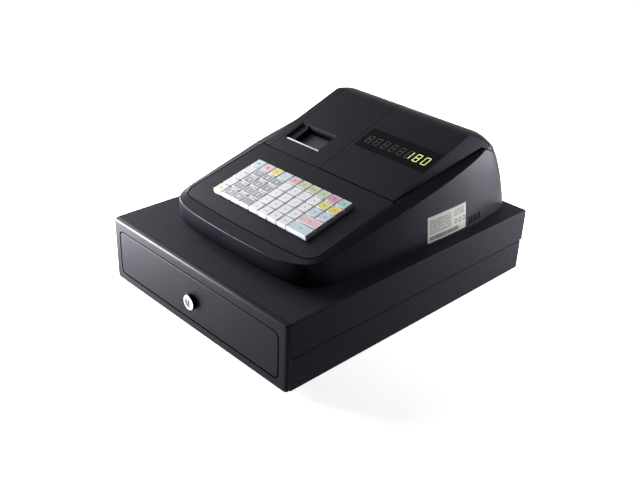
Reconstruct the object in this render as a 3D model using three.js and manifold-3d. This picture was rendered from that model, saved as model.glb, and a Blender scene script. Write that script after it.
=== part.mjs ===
// Electronic cash register on a steel cash drawer.
// Millimetres, +Z up, the drawer opens towards -Y. The origin is the middle of the
// footprint, on the surface that the feet stand on.
import * as THREE from 'three';
import { mergeVertices } from 'three/addons/utils/BufferGeometryUtils.js';
import Module from 'manifold-3d';

const wasm = await Module();
wasm.setup();

// Cash drawer housing
const housingWidth = 325;
const housingDepth = 424;
const housingHeight = 86;
const footHeight = 3;
const footRadius = 9;
const footInset = 24;
const sheet = 1.5;
const coverSeamHeight = 42.5;
const coverOverlap = 0.4;
const baseStep = 0.7;
const baseStepDrop = 2;
const coverEdgeRadius = 2.5;
const frameDepth = 7;
const frameLipDepth = 4.5;
const frameEdgeRadius = 3.5;
const seat = 0.3;
const overrun = 5;

// Drawer
const panelSideMargin = 13.2;
const panelBottom = 12.8;
const panelTop = 71.5;
const panelGap = 1.5;
const panelCorner = 7;
const panelThickness = 4;
const traySideMargin = 20.5;
const trayBottom = 17.5;
const trayTop = 66;
const trayRearGap = 22;
const runnerReach = 5.5;
const runnerBottom = 24;
const runnerThickness = 3;
const railInnerReach = 2;
const railLip = 3.7;

// Till insert
const insertWall = 2;
const insertFloor = 2;
const insertClearance = 1.5;
const insertFrontGap = 16;
const insertLength = 283;
const insertTop = 62;
const coinCupCount = 5;
const coinCupLength = 78;
const coinScoopRadius = 30;
const noteBayCount = 3;
const clipPivotHeight = 54;
const clipPivotInset = 12;
const clipPinRadius = 1.5;
const clipPinReach = 0.8;
const clipArmWidth = 24;
const clipArmLength = 108;
const clipArmThickness = 1.6;
const clipPadLength = 22;
const clipHubRadius = 3.2;

// Lock and latch
const lockHeadRadius = 9.7;
const lockHeadLength = 6;
const lockHeadRound = 1.6;
const lockBodyRadius = 8;
const lockBodyLength = 12.5;
const lockCentreX = -1;
const lockDrop = 2.85;
const plugRadius = 5.2;
const plugHeadRecess = 0.8;
const keySlotWidth = 1.6;
const keySlotHeight = 6.4;
const keySlotDepth = 4;
const camLength = 38;
const camWidth = 10;
const camThickness = 2.4;
const camGap = 0.6;
const latchPinRadius = 2;
const latchHubRadius = 5;
const latchWidth = 12;
const latchCheek = 3;
const latchPivotHeight = 74;
const latchPivotInset = 8;
const latchArmLength = 19;
const latchArmThickness = 4;
const latchHookWidth = 3;
const latchHookDrop = 6.6;

// Register body
const caseSideMargin = 17.5;
const caseRearMargin = 7;
const caseWall = 3;
const caseSideLeanShare = 0.13;
const caseNoseLeanShare = 0.13;
const caseFrontLeanShare = -0.15;
const noseStart = 15;
const noseLength = 110;
const frontRimWidth = 17.24;
const frontRimHeight = 27.58;
const upperRun = 131;
const ridgeRun = 79;
const deckTilt = THREE.MathUtils.degToRad(14);
const ledgeTilt = THREE.MathUtils.degToRad(12);
const upperTilt = THREE.MathUtils.degToRad(20);
const rimSideSlope = THREE.MathUtils.degToRad(16);
const rimFrontSlope = THREE.MathUtils.degToRad(-9.6);
const rimReach = 150;
const rimSideWidth = 28;
const deckLength = 139.4;
const deckCorner = 19;
const deckBow = 3;
const grooveWidth = 0.7;
const deckThickness = 3;
const deckSeatWidth = 4;
const deckEdgeRound = 0.8;
const ridgeHandle = 38;
const rearHandle = 80;
const rearLean = THREE.MathUtils.degToRad(7);
const wingInset = 1.5;
const wingFlareShare = 0.4;
const wingCorner = 16;
const wingWall = 2.8;
const ledgeEndInset = 59;
const partingEndInset = 19;
const partingDrop = 17.6;

// Keyboard
const keyColumns = 10;
const keyRows = 5;
const keySideMargin = 32.5;
const keyFrontMargin = 26.9;
const keyGap = 0.7;
const keyBackEdge = 34;
const keyTop = 5.6;
const keySkirt = 2.5;
const keyBevel = 0.9;
const keyBevelDrop = 1.2;
const keyCorner = 1.2;
const keyStem = 4.2;
const keyStemEnd = 11.5;
const bedTop = 6.4;
const bedThickness = 2;
const bedRim = 4;
const bedMargin = 7;
const wellClearance = 0.5;

// Display, printer and back
const windowCoverMargin = 6.4;
const windowEdgeMargin = 3.5;
const windowStart = 58.8;
const windowEnd = 97.1;
const windowThickness = 1.5;
const windowLip = 2;
const coverSideMargin = 11.2;
const coverWidthShare = 0.4082;
const coverThickness = 2.5;
const coverGap = 0.6;
const coverFrontSlant = 1.1;
const bayRib = 2.5;
const bayRibDrop = 16;
const hingePinRadius = 1.7;
const hingePinReach = 2;
const hingeEarThickness = 3;
const hingeEarRadius = 4;
const hingeInset = 48.5;
const hingeDepth = 6;
const coverTail = 4.5;
const pocketLeftMargin = 3.3;
const pocketRightMargin = 27;
const pocketStart = 26;
const pocketEnd = 60.5;
const pocketDepth = 11;
const pocketLeftSlope = 3;
const pocketSlope = 4;
const scoopLength = 12;
const scoopDepth = 3.5;
const paperSlot = 2.4;
const paperSideMargin = 3.25;
const paperOffset = 3;
const paperRadius = 28;
const spindleRadius = 4;
const spindleReach = 3.2;
const rollInset = 103;
const rollDrop = 51.8;
const platenRadius = 6;
const platenShaftRadius = 2.4;
const platenInset = 38;
const platenDrop = 25.1;
const printerWall = 2;
const printerFrontInset = 27;
const printerLength = 114;
const headGap = 6.4;
const headDepth = 13;
const customerWindowShare = 0.662;
const customerWindowHeight = 26;
const customerWindowPlaceShare = 0.4;
const customerWindowBottom = 30;
const glandRadius = 6;
const glandLength = 11.5;
const glandFlangeRadius = 8.5;
const glandFlange = 1.5;
const glandPlaceShare = 0.662;
const glandHeight = 18;
const glandRings = 2;
const glandNeckShare = 0.8;
const ventCount = 6;
const ventWidth = 2;
const ventPitch = 4.6;
const ventBottom = 4.5;
const ventHeight = 9.5;
const ventRearInset = 93;

// Levels and planes that the sizes above give
const frontY = -housingDepth / 2;
const backY = housingDepth / 2;
const housingTop = footHeight + housingHeight;
const caseBase = housingTop + seat;
const halfWidth = housingWidth / 2;
const baseHalfWidth = halfWidth - baseStep;
const panelHalfWidth = halfWidth - panelSideMargin;
const trayHalfWidth = halfWidth - traySideMargin;

// Register body, from the back of the housing forwards
const caseHalfWidth = halfWidth - caseSideMargin;
const caseRearY = backY - caseRearMargin;
const ridgeStartY = caseRearY - ridgeRun;
const seamY = ridgeStartY - upperRun;
const caseFrontY = seamY - deckLength * Math.cos(deckTilt) - frontRimWidth;
const seamHeight = frontRimHeight + deckLength * Math.sin(deckTilt);
const seamZ = housingTop + seamHeight;
const noseStartY = seamY + noseStart;
const ledgeEndY = caseRearY - ledgeEndInset;
const partingRearY = caseRearY - partingEndInset;
const partingRearHeight = seamHeight + (ledgeEndY - seamY) * Math.tan(ledgeTilt) - partingDrop;
const deckHalfWidth = caseHalfWidth - rimSideWidth;
const wingHalfWidth = deckHalfWidth - wingInset;
const keyPitchX = 2 * (deckHalfWidth - keySideMargin) / keyColumns;
const keyPitchY = (deckLength - keyBackEdge - keyFrontMargin) / keyRows;
const coverLeft = coverSideMargin - wingHalfWidth;
const coverRight = coverLeft + 2 * wingHalfWidth * coverWidthShare;
const windowLeft = coverRight + windowCoverMargin;
const windowRight = wingHalfWidth - windowEdgeMargin;
const hingeY = caseRearY - hingeInset;
const coverRearY = hingeY + coverTail;
const pocketLeft = coverLeft + pocketLeftMargin;
const pocketRight = coverRight - pocketRightMargin;
const paperWidth = pocketRight - pocketLeft - 2 * paperSideMargin;
const paperCentreX = (pocketLeft + pocketRight) / 2 + paperOffset;
const rollY = seamY + rollInset;
const platenY = seamY + platenInset;
const printerFrontY = seamY + printerFrontInset;
const printerRearY = printerFrontY + printerLength;
const customerWindowWidth = caseHalfWidth * customerWindowShare;
const customerWindowX = -caseHalfWidth * customerWindowPlaceShare;
const glandX = caseHalfWidth * glandPlaceShare;
const ventStartY = caseRearY - ventRearInset;
const lockZ = footHeight + (panelBottom + panelTop) / 2 - lockDrop;
const deckFrame = new THREE.Matrix4()
  .makeTranslation(0, seamY, seamZ)
  .multiply(new THREE.Matrix4().makeRotationX(deckTilt));
const ledgeFrame = new THREE.Matrix4()
  .makeTranslation(0, seamY, seamZ)
  .multiply(new THREE.Matrix4().makeRotationX(ledgeTilt));
const upperFrame = new THREE.Matrix4()
  .makeTranslation(0, seamY, seamZ)
  .multiply(new THREE.Matrix4().makeRotationX(upperTilt));

// Geometry helpers: every one returns a closed BufferGeometry in place

function block(x0, x1, y0, y1, z0, z1) {
  const box = new THREE.BoxGeometry(x1 - x0, y1 - y0, z1 - z0);
  box.translate((x0 + x1) / 2, (y0 + y1) / 2, (z0 + z1) / 2);
  return box;
}

function shapeOf(points) {
  return new THREE.Shape(points.map(([a, b]) => new THREE.Vector2(a, b)));
}

// An outline in X and Y, pulled up from z0 to z1
function slab(points, z0, z1) {
  const body = new THREE.ExtrudeGeometry(shapeOf(points), { depth: z1 - z0, bevelEnabled: false });
  body.translate(0, 0, z0);
  return body;
}

// An outline in Y and Z, pulled across from x0 to x1
function crossBar(points, x0, x1) {
  const body = new THREE.ExtrudeGeometry(shapeOf(points), { depth: x1 - x0, bevelEnabled: false });
  const turn = new THREE.Matrix4().makeBasis(
    new THREE.Vector3(0, 1, 0), new THREE.Vector3(0, 0, 1), new THREE.Vector3(1, 0, 0));
  body.applyMatrix4(turn);
  body.translate(x0, 0, 0);
  return body;
}

// An outline in X and Z, pulled back from y0 to y1
function panel(points, y0, y1) {
  const body = new THREE.ExtrudeGeometry(shapeOf(points), { depth: y1 - y0, bevelEnabled: false });
  const turn = new THREE.Matrix4().makeBasis(
    new THREE.Vector3(1, 0, 0), new THREE.Vector3(0, 0, 1), new THREE.Vector3(0, -1, 0));
  body.applyMatrix4(turn);
  body.translate(0, y1, 0);
  return body;
}

// A round bar along X, Y or Z between two stations
function rod(axis, radius, from, to, centre, sides = 24) {
  const bar = new THREE.CylinderGeometry(radius, radius, to - from, sides);
  const middle = (from + to) / 2;
  if (axis === 'x') {
    bar.rotateZ(Math.PI / 2);
    bar.translate(middle, centre[0], centre[1]);
  } else if (axis === 'y') {
    bar.translate(centre[0], middle, centre[1]);
  } else {
    bar.rotateX(Math.PI / 2);
    bar.translate(centre[0], centre[1], middle);
  }
  return bar;
}

// A rectangle with round corners, counter-clockwise
function roundedRectangle(x0, x1, y0, y1, radius, steps = 5) {
  const points = [];
  const corners = [
    [x1 - radius, y0 + radius, -Math.PI / 2],
    [x1 - radius, y1 - radius, 0],
    [x0 + radius, y1 - radius, Math.PI / 2],
    [x0 + radius, y0 + radius, Math.PI],
  ];
  for (const [cx, cy, start] of corners) {
    for (let i = 0; i <= steps; i += 1) {
      const angle = start + (Math.PI / 2) * (i / steps);
      points.push([cx + radius * Math.cos(angle), cy + radius * Math.sin(angle)]);
    }
  }
  return points;
}

// A skin over rings of equal length, each ring counter-clockwise seen from the last one
function loft(rings) {
  const count = rings[0].length;
  const positions = [];
  const index = [];
  for (const ring of rings) {
    for (const point of ring) positions.push(point[0], point[1], point[2]);
  }
  for (let k = 0; k + 1 < rings.length; k += 1) {
    for (let i = 0; i < count; i += 1) {
      const j = (i + 1) % count;
      const a = k * count + i;
      const b = k * count + j;
      const c = (k + 1) * count + j;
      const d = (k + 1) * count + i;
      index.push(a, b, c, a, c, d);
    }
  }
  const cap = (ring, start, flip) => {
    const middle = positions.length / 3;
    const sum = ring.reduce((t, p) => [t[0] + p[0], t[1] + p[1], t[2] + p[2]], [0, 0, 0]);
    positions.push(sum[0] / count, sum[1] / count, sum[2] / count);
    for (let i = 0; i < count; i += 1) {
      const j = (i + 1) % count;
      if (flip) index.push(middle, start + j, start + i);
      else index.push(middle, start + i, start + j);
    }
  };
  cap(rings[0], 0, true);
  cap(rings[rings.length - 1], (rings.length - 1) * count, false);
  const body = new THREE.BufferGeometry();
  body.setAttribute('position', new THREE.Float32BufferAttribute(positions, 3));
  body.setIndex(index);
  return body;
}

// Solids: closed bodies that can be joined and cut
function solid(geometry) {
  const plain = geometry.clone();
  for (const name of Object.keys(plain.attributes)) {
    if (name !== 'position') plain.deleteAttribute(name);
  }
  const merged = mergeVertices(plain, 1e-4);
  return new wasm.Manifold(new wasm.Mesh({
    numProp: 3,
    vertProperties: new Float32Array(merged.attributes.position.array),
    triVerts: new Uint32Array(merged.index.array),
  }));
}

function join(...geometries) {
  return geometries.map(solid).reduce((sum, next) => sum.add(next));
}

function cut(body, ...geometries) {
  return geometries.map(solid).reduce((rest, next) => rest.subtract(next), body);
}

function geometryOf(body) {
  const mesh = body.getMesh();
  const geometry = new THREE.BufferGeometry();
  geometry.setAttribute('position', new THREE.BufferAttribute(new Float32Array(mesh.vertProperties), 3));
  geometry.setIndex(new THREE.BufferAttribute(new Uint32Array(mesh.triVerts), 1));
  geometry.computeVertexNormals();
  return geometry;
}

const finishes = {
  steel: { color: 0x26252d, roughness: 0.62, metalness: 0.15 },
  frame: { color: 0x2c2b31, roughness: 0.5, metalness: 0.1 },
  plastic: { color: 0x25242c, roughness: 0.42, metalness: 0 },
  zinc: { color: 0x9a9c9e, roughness: 0.45, metalness: 0.8 },
  chrome: { color: 0xd4d6d8, roughness: 0.12, metalness: 1 },
  insert: { color: 0x1d1d20, roughness: 0.6, metalness: 0 },
  rubber: { color: 0x17171a, roughness: 0.9, metalness: 0 },
  smoked: { color: 0x08080a, roughness: 0.08, metalness: 0 },
  paper: { color: 0xf3f1ea, roughness: 0.9, metalness: 0 },
  grey: { color: 0x56565b, roughness: 0.55, metalness: 0 },
};

const keyColours = {
  white: 0xf0f0ee,
  grey: 0x8e8f93,
  lavender: 0xc9c6d8,
  cyan: 0xa9dbe3,
  teal: 0x8cc9b4,
  pink: 0xe9a4b4,
  magenta: 0xdd7fa0,
  rose: 0xe8b0b8,
  yellow: 0xe5d94a,
  amber: 0xf0c23c,
  blue: 0xa6d2e8,
  green: 0xa8cd8e,
  sage: 0xbcd6a6,
  lime: 0xcfe2b8,
};

const register = new THREE.Group();
register.position.y = lockHeadLength / 2;

function addNode(parent, name, body, finish) {
  const geometry = body instanceof THREE.BufferGeometry ? body : geometryOf(body);
  const mesh = new THREE.Mesh(geometry, new THREE.MeshStandardMaterial(finish));
  mesh.name = name;
  parent.add(mesh);
  return mesh;
}

// Steel housing: base tray with runner rails, wrap-over cover, front frame

function buildHousingBase() {
  const inside = halfWidth - sheet - coverOverlap;
  const z0 = footHeight;
  const wallTop = z0 + coverSeamHeight + overrun;
  const y0 = frontY + frameDepth + seat;
  const y1 = backY - sheet - seat;
  const railTop = z0 + runnerBottom + runnerThickness + seat;
  const railSlot = z0 + runnerBottom - seat;
  const step = z0 + coverSeamHeight - baseStepDrop;
  let body = join(
    block(-baseHalfWidth, baseHalfWidth, y0, y1, z0, z0 + sheet),
    block(-inside, inside, y1 - sheet, y1, z0, wallTop),
  );
  for (const side of [-1, 1]) {
    const wall = (from, to, low, high) => {
      const [left, right] = side < 0 ? [-to, -from] : [from, to];
      return block(left, right, y0, y1, low, high);
    };
    body = body.add(join(
      wall(baseHalfWidth - sheet, baseHalfWidth, z0, step),
      wall(inside - sheet, baseHalfWidth, step - sheet, step),
      wall(inside - sheet, inside, step - sheet, wallTop),
    ));
    const near = side * (trayHalfWidth + railInnerReach);
    const far = side * (baseHalfWidth - sheet / 2);
    const slotEnd = side * (trayHalfWidth + runnerReach + seat);
    const railFront = frontY + frameDepth + frameLipDepth + seat;
    body = body.add(join(
      block(Math.min(near, far), Math.max(near, far), railFront, y1, railSlot - railLip, railTop + railLip),
      block(Math.min(slotEnd, far), Math.max(slotEnd, far), railFront, y1, z0, railSlot),
    ));
    const slotFrom = Math.min(near - side, slotEnd);
    const slotTo = Math.max(near - side, slotEnd);
    body = cut(body, block(slotFrom, slotTo, railFront - overrun, y1 - 2 * sheet, railSlot, railTop));
  }
  const pivotY = y1 - sheet - latchPivotInset;
  for (const side of [-1, 1]) {
    const inner = side * (latchWidth / 2 + seat);
    const outer = side * (latchWidth / 2 + seat + latchCheek);
    body = body.add(solid(block(Math.min(inner, outer), Math.max(inner, outer),
      pivotY - latchHubRadius, y1 - sheet / 2, z0, z0 + latchPivotHeight + latchHubRadius)));
  }
  const pinEnd = latchWidth / 2 + seat + latchCheek / 2;
  return body.add(solid(rod('x', latchPinRadius, -pinEnd, pinEnd, [pivotY, z0 + latchPivotHeight], 16)));
}

function buildHousingCover() {
  const y0 = frontY + frameDepth + seat;
  const z0 = footHeight + coverSeamHeight;
  const outer = roundedRectangle(-halfWidth, halfWidth, z0 - overrun, housingTop, coverEdgeRadius, 4);
  const inset = halfWidth - sheet;
  const inner = roundedRectangle(-inset, inset, z0 - 2 * overrun, housingTop - sheet,
    coverEdgeRadius - sheet, 2);
  let body = solid(panel(outer, y0, backY));
  body = cut(body, panel(inner, y0 - overrun, backY - sheet));
  return cut(body, block(-housingWidth, housingWidth, y0 - overrun, backY + overrun, footHeight - overrun,
    z0));
}

function buildFrontFrame() {
  const z0 = footHeight;
  const open = panelHalfWidth + panelGap;
  const lipX = halfWidth - sheet - coverOverlap - sheet - seat;
  const lipBottom = z0 + sheet + seat;
  const lipTop = housingTop - sheet - seat;
  const ring = (inset, y) => roundedRectangle(-halfWidth + inset, halfWidth - inset, z0 + inset,
    housingTop - inset, frameEdgeRadius, 3).map(([x, z]) => [x, y, z]);
  const rings = [
    ring(0, frontY + frameDepth),
    ring(0, frontY + frameEdgeRadius),
    ring(frameEdgeRadius * 0.3, frontY + frameEdgeRadius * 0.3),
    ring(frameEdgeRadius, frontY),
  ];
  let body = solid(loft(rings));
  body = body.add(solid(block(-lipX, lipX, frontY + frameDepth / 2, frontY + frameDepth + frameLipDepth,
    lipBottom, lipTop)));
  const opening = roundedRectangle(-open, open, z0 + panelBottom - panelGap, z0 + panelTop + panelGap,
    panelCorner + panelGap, 5);
  return cut(body, panel(opening, frontY - overrun, frontY + frameDepth + frameLipDepth + overrun));
}

// Drawer: front panel, sheet tray with side runners, plastic insert

function buildDrawerFront() {
  const z0 = footHeight;
  const outline = (inset) => roundedRectangle(-panelHalfWidth + inset, panelHalfWidth - inset,
    z0 + panelBottom + inset, z0 + panelTop - inset, panelCorner - inset, 5);
  const rings = [
    outline(0).map(([x, z]) => [x, frontY + panelThickness, z]),
    outline(0).map(([x, z]) => [x, frontY + 0.8, z]),
    outline(0.8).map(([x, z]) => [x, frontY, z]),
  ];
  const body = solid(loft(rings));
  return cut(body, rod('y', lockBodyRadius + seat, frontY - overrun, frontY + panelThickness + overrun,
    [lockCentreX, lockZ], 32));
}

const trayFrontY = frontY + panelThickness + seat;
const trayRearY = backY - trayRearGap;

function buildDrawerTray() {
  const z0 = footHeight + trayBottom;
  const z1 = footHeight + trayTop;
  const w = trayHalfWidth;
  const runnerZ = footHeight + runnerBottom;
  let body = join(
    block(-w, w, trayFrontY, trayRearY, z0, z0 + sheet),
    block(-w, -w + sheet, trayFrontY, trayRearY, z0, z1),
    block(w - sheet, w, trayFrontY, trayRearY, z0, z1),
    block(-w, w, trayFrontY, trayFrontY + sheet, z0, z1),
    block(-w, w, trayRearY - sheet, trayRearY, z0, z1),
  );
  for (const side of [-1, 1]) {
    const near = side * (w - sheet / 2);
    const far = side * (w + runnerReach);
    body = body.add(solid(block(Math.min(near, far), Math.max(near, far),
      trayFrontY + frameDepth + frameLipDepth,
      trayRearY, runnerZ, runnerZ + runnerThickness)));
  }
  return cut(body, rod('y', lockBodyRadius + seat, trayFrontY - overrun, trayFrontY + sheet + overrun,
    [lockCentreX, lockZ], 32));
}

const insertY0 = trayFrontY + sheet + insertFrontGap;
const insertY1 = insertY0 + insertLength;
const insertHalf = trayHalfWidth - sheet - insertClearance;
const insertZ0 = footHeight + trayBottom + sheet + seat;
const insertZ1 = footHeight + insertTop;
const noteBayY0 = insertY0 + insertWall + coinCupLength + insertWall;
const bayWidth = (2 * insertHalf - insertWall) / noteBayCount - insertWall;
const clipPivot = [insertY1 - clipPivotInset, footHeight + clipPivotHeight];

function bayCentre(index) {
  return -insertHalf + insertWall + bayWidth / 2 + index * (bayWidth + insertWall);
}

function buildTillInsert() {
  let body = solid(block(-insertHalf, insertHalf, insertY0, insertY1, insertZ0, insertZ1));
  const cupWidth = (2 * insertHalf - insertWall) / coinCupCount - insertWall;
  const floor = insertZ0 + insertFloor;
  for (let i = 0; i < coinCupCount; i += 1) {
    const x0 = -insertHalf + insertWall + i * (cupWidth + insertWall);
    const y0 = insertY0 + insertWall;
    const y1 = y0 + coinCupLength;
    const scoop = [[y0, insertZ1 + overrun], [y0, floor + coinScoopRadius]];
    for (let k = 1; k <= 6; k += 1) {
      const angle = (Math.PI / 2) * (k / 6);
      scoop.push([y0 + coinScoopRadius * (1 - Math.cos(angle)),
        floor + coinScoopRadius * (1 - Math.sin(angle))]);
    }
    scoop.push([y1, floor], [y1, insertZ1 + overrun]);
    body = cut(body, crossBar(scoop, x0, x0 + cupWidth));
  }
  for (let i = 0; i < noteBayCount; i += 1) {
    const x = bayCentre(i);
    body = cut(body, block(x - bayWidth / 2, x + bayWidth / 2, noteBayY0, insertY1 - insertWall, floor,
      insertZ1 + overrun));
  }
  const inner = bayWidth / 2 + bayWidth + 2 * insertWall;
  const blind = inner - insertWall + clipPinReach + seat;
  return cut(body, rod('x', clipPinRadius + seat, -blind, blind, clipPivot, 16));
}

function buildNoteClip(index) {
  const x = bayCentre(index);
  const pinEnd = bayWidth / 2 + clipPinReach;
  const floor = insertZ0 + insertFloor;
  const drop = clipPivot[1] - floor - seat - clipArmThickness / 2;
  const reach = Math.sqrt(clipArmLength ** 2 - drop ** 2);
  const tipY = clipPivot[0] - reach;
  const tipZ = floor + seat + clipArmThickness / 2;
  const slope = new THREE.Vector2(-reach, -drop).normalize();
  const normal = new THREE.Vector2(-slope.y, slope.x).multiplyScalar(clipArmThickness / 2);
  const padEnd = tipY - clipPadLength;
  const half = clipArmThickness / 2;
  const arm = [
    [clipPivot[0] + normal.x, clipPivot[1] + normal.y],
    [clipPivot[0] - normal.x, clipPivot[1] - normal.y],
    [tipY, tipZ + half],
    [padEnd + half, tipZ + half],
    [padEnd - half, tipZ + 2 * clipArmThickness],
    [padEnd - 2 * clipArmThickness, tipZ + 2 * clipArmThickness],
    [padEnd - clipArmThickness, tipZ - half],
    [tipY + half, tipZ - half],
  ];
  const clockwise = THREE.ShapeUtils.isClockWise(arm.map(([a, b]) => new THREE.Vector2(a, b)));
  const outline = clockwise ? arm.reverse() : arm;
  return join(
    rod('x', clipPinRadius, x - pinEnd, x + pinEnd, clipPivot, 16),
    rod('x', clipHubRadius, x - clipArmWidth / 2, x + clipArmWidth / 2, clipPivot, 16),
    crossBar(outline, x - clipArmWidth / 2, x + clipArmWidth / 2),
  );
}

// Lock and latch

const plugTailY = frontY + lockBodyLength + camGap;

function buildLockBarrel() {
  const profile = [
    [0, -lockHeadLength],
    [lockHeadRadius - lockHeadRound, -lockHeadLength],
    [lockHeadRadius - lockHeadRound * 0.3, -lockHeadLength + lockHeadRound * 0.3],
    [lockHeadRadius, -lockHeadLength + lockHeadRound],
    [lockHeadRadius, -seat],
    [lockBodyRadius, -seat],
    [lockBodyRadius, lockBodyLength],
    [0, lockBodyLength],
  ].map(([r, y]) => new THREE.Vector2(r, y));
  const turned = new THREE.LatheGeometry(profile, 40);
  turned.translate(lockCentreX, frontY, lockZ);
  const body = solid(turned);
  return cut(body, rod('y', plugRadius + seat, frontY - lockHeadLength - overrun,
    frontY + lockBodyLength + overrun, [lockCentreX, lockZ], 32));
}

function buildLockPlug() {
  const face = frontY - lockHeadLength + plugHeadRecess;
  const tail = plugTailY + camThickness;
  const body = join(
    rod('y', plugRadius, face, tail, [lockCentreX, lockZ], 32),
    block(lockCentreX - camLength, lockCentreX + camWidth / 2, plugTailY, tail,
      lockZ - camWidth / 2, lockZ + camWidth / 2),
  );
  return cut(body, block(lockCentreX - keySlotWidth / 2, lockCentreX + keySlotWidth / 2,
    face - overrun, face + keySlotDepth, lockZ - keySlotHeight / 2, lockZ + keySlotHeight / 2));
}

function buildLatchLever() {
  const pivotY = backY - 2 * sheet - seat - latchPivotInset;
  const pivotZ = footHeight + latchPivotHeight;
  const half = latchArmThickness / 2;
  const outline = [
    [pivotY - latchArmLength, pivotZ + half - latchHookWidth / 2],
    [pivotY - latchArmLength, pivotZ - latchHookDrop],
    [pivotY - latchArmLength + latchHookWidth, pivotZ - latchHookDrop],
    [pivotY - latchArmLength + latchHookWidth, pivotZ - half],
    [pivotY, pivotZ - half],
    [pivotY, pivotZ + half],
    [pivotY - latchArmLength + latchHookWidth / 2, pivotZ + half],
  ];
  const body = join(
    rod('x', latchHubRadius, -latchWidth / 2, latchWidth / 2, [pivotY, pivotZ], 20),
    crossBar(outline, -latchWidth / 2, latchWidth / 2),
  );
  return cut(body, rod('x', latchPinRadius + seat, -latchWidth, latchWidth, [pivotY, pivotZ], 16));
}

// Register body. Its back is one curve from the ridge down to the base.
const ridgeStartZ = seamZ + (ridgeStartY - seamY) * Math.tan(upperTilt);
const rearCurve = new THREE.CubicBezierCurve(
  new THREE.Vector2(ridgeStartY, ridgeStartZ),
  new THREE.Vector2(ridgeStartY + ridgeHandle * Math.cos(upperTilt),
    ridgeStartZ + ridgeHandle * Math.sin(upperTilt)),
  new THREE.Vector2(caseRearY - rearHandle * Math.sin(rearLean), caseBase + rearHandle * Math.cos(rearLean)),
  new THREE.Vector2(caseRearY, caseBase),
);
const ridgeShare = 0.14;
const wingFootShare = 0.62;
const rearStations = 12;

// Half of the plan outline at the base: shares of the half width and of the length
const outlineShares = [
  [0, 0], [0.31, 0.002], [0.586, 0.009], [0.745, 0.025], [0.855, 0.055], [0.91, 0.098],
  [0.932, 0.159], [0.955, 0.247], [0.971, 0.338], [0.986, 0.462], [1, 0.6], [1, 0.71],
  [0.985, 0.807], [0.965, 0.884], [0.948, 0.945], [0.918, 0.985], [0.83, 0.9995], [0.4, 1], [0, 1],
];
const taperStartShare = 0.8;

function caseRing(rearY, z, inset, perSpan) {
  const rise = z - caseBase;
  const halfAt = (y) => {
    const nose = Math.min(1, Math.max(0, (noseStartY - y) / noseLength));
    return caseHalfWidth - inset - rise * (caseSideLeanShare + nose * caseNoseLeanShare);
  };
  const front = caseFrontY + inset + rise * caseFrontLeanShare;
  const taperY = caseFrontY + (caseRearY - caseFrontY) * taperStartShare;
  const along = (share) => {
    const y = caseFrontY + (caseRearY - caseFrontY) * share;
    if (y > taperY) return taperY + (y - taperY) * (rearY - inset - taperY) / (caseRearY - taperY);
    return front + (y - caseFrontY) * (taperY - front) / (taperY - caseFrontY);
  };
  const right = outlineShares.map(([a, b]) => new THREE.Vector3(a * halfAt(along(b)), along(b), z));
  const left = right.slice(1, -1).reverse().map((p) => new THREE.Vector3(-p.x, p.y, p.z));
  const loop = [...right, ...left];
  const curve = new THREE.CatmullRomCurve3(loop, true, 'centripetal');
  return curve.getPoints(loop.length * perSpan).slice(0, -1).map((p) => [p.x, p.y, p.z]);
}

// The body's walls from the base to the ridge
function caseWalls(inset, lift, perSpan, stations) {
  const rings = [];
  for (let i = 0; i <= stations; i += 1) {
    const t = 1 + (ridgeShare - 1) * (i / stations);
    const p = rearCurve.getPoint(t);
    const z = i === 0 ? caseBase + lift : p.y;
    rings.push(caseRing(p.x, z, inset, perSpan));
  }
  return loft(rings);
}

// Side view of the top: the upper panel's slope, the ridge and the back, lowered by a thickness
function topProfile(lower) {
  const points = [];
  const drop = new THREE.Vector2(Math.sin(upperTilt), -Math.cos(upperTilt)).multiplyScalar(lower);
  const start = -2 * overrun;
  points.push([seamY + start + drop.x, seamZ + start * Math.tan(upperTilt) + drop.y]);
  for (let i = 0; i <= rearStations * 2; i += 1) {
    const t = i / (rearStations * 2);
    const p = rearCurve.getPoint(t);
    const d = rearCurve.getTangent(t);
    points.push([p.x + d.y * lower, p.y - d.x * lower]);
  }
  const last = points[points.length - 1];
  points.push([last[0], footHeight], [seamY + start + drop.x, footHeight]);
  return points.reverse();
}

// Outline of the keyboard deck in its own plane, grown by an offset
function deckOutline(offset, rear) {
  const radius = deckCorner + offset;
  const middle = deckHalfWidth - deckCorner;
  const front = -deckLength + deckBow - offset;
  const points = [];
  for (let i = 0; i <= 6; i += 1) {
    const angle = Math.PI + (Math.PI / 2) * (i / 6);
    points.push([-middle + radius * Math.cos(angle), front + radius + radius * Math.sin(angle)]);
  }
  for (let i = 1; i < 6; i += 1) {
    const share = -1 + i / 3;
    points.push([middle * share, front - deckBow * (1 - share ** 2)]);
  }
  for (let i = 0; i <= 6; i += 1) {
    const angle = -Math.PI / 2 + (Math.PI / 2) * (i / 6);
    points.push([middle + radius * Math.cos(angle), front + radius + radius * Math.sin(angle)]);
  }
  points.push([deckHalfWidth + offset, rear], [-deckHalfWidth - offset, rear]);
  return points;
}

// The space under a sloping rim: flat inside the deck outline, falling to the sides and almost level in front
function rimBody(frame, offset, drop, rear) {
  const fallAt = (x, s) => {
    const aside = Math.max(0, Math.abs(x) - deckHalfWidth + deckCorner);
    const ahead = Math.max(0, deckCorner + deckBow - deckLength - s);
    const front = ahead ** 2 / (aside ** 2 + ahead ** 2);
    return rimReach * Math.tan(rimSideSlope + (rimFrontSlope - rimSideSlope) * front);
  };
  const level = (grow, n) => deckOutline(grow, rear).map(([x, s]) => [x, s, n]);
  const body = loft([
    level(offset + rimReach, -housingDepth),
    level(offset + rimReach, 0).map(([x, s]) => [x, s, -fallAt(x, s) - drop]),
    level(offset, -drop),
  ]);
  body.applyMatrix4(frame);
  return body;
}

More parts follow.
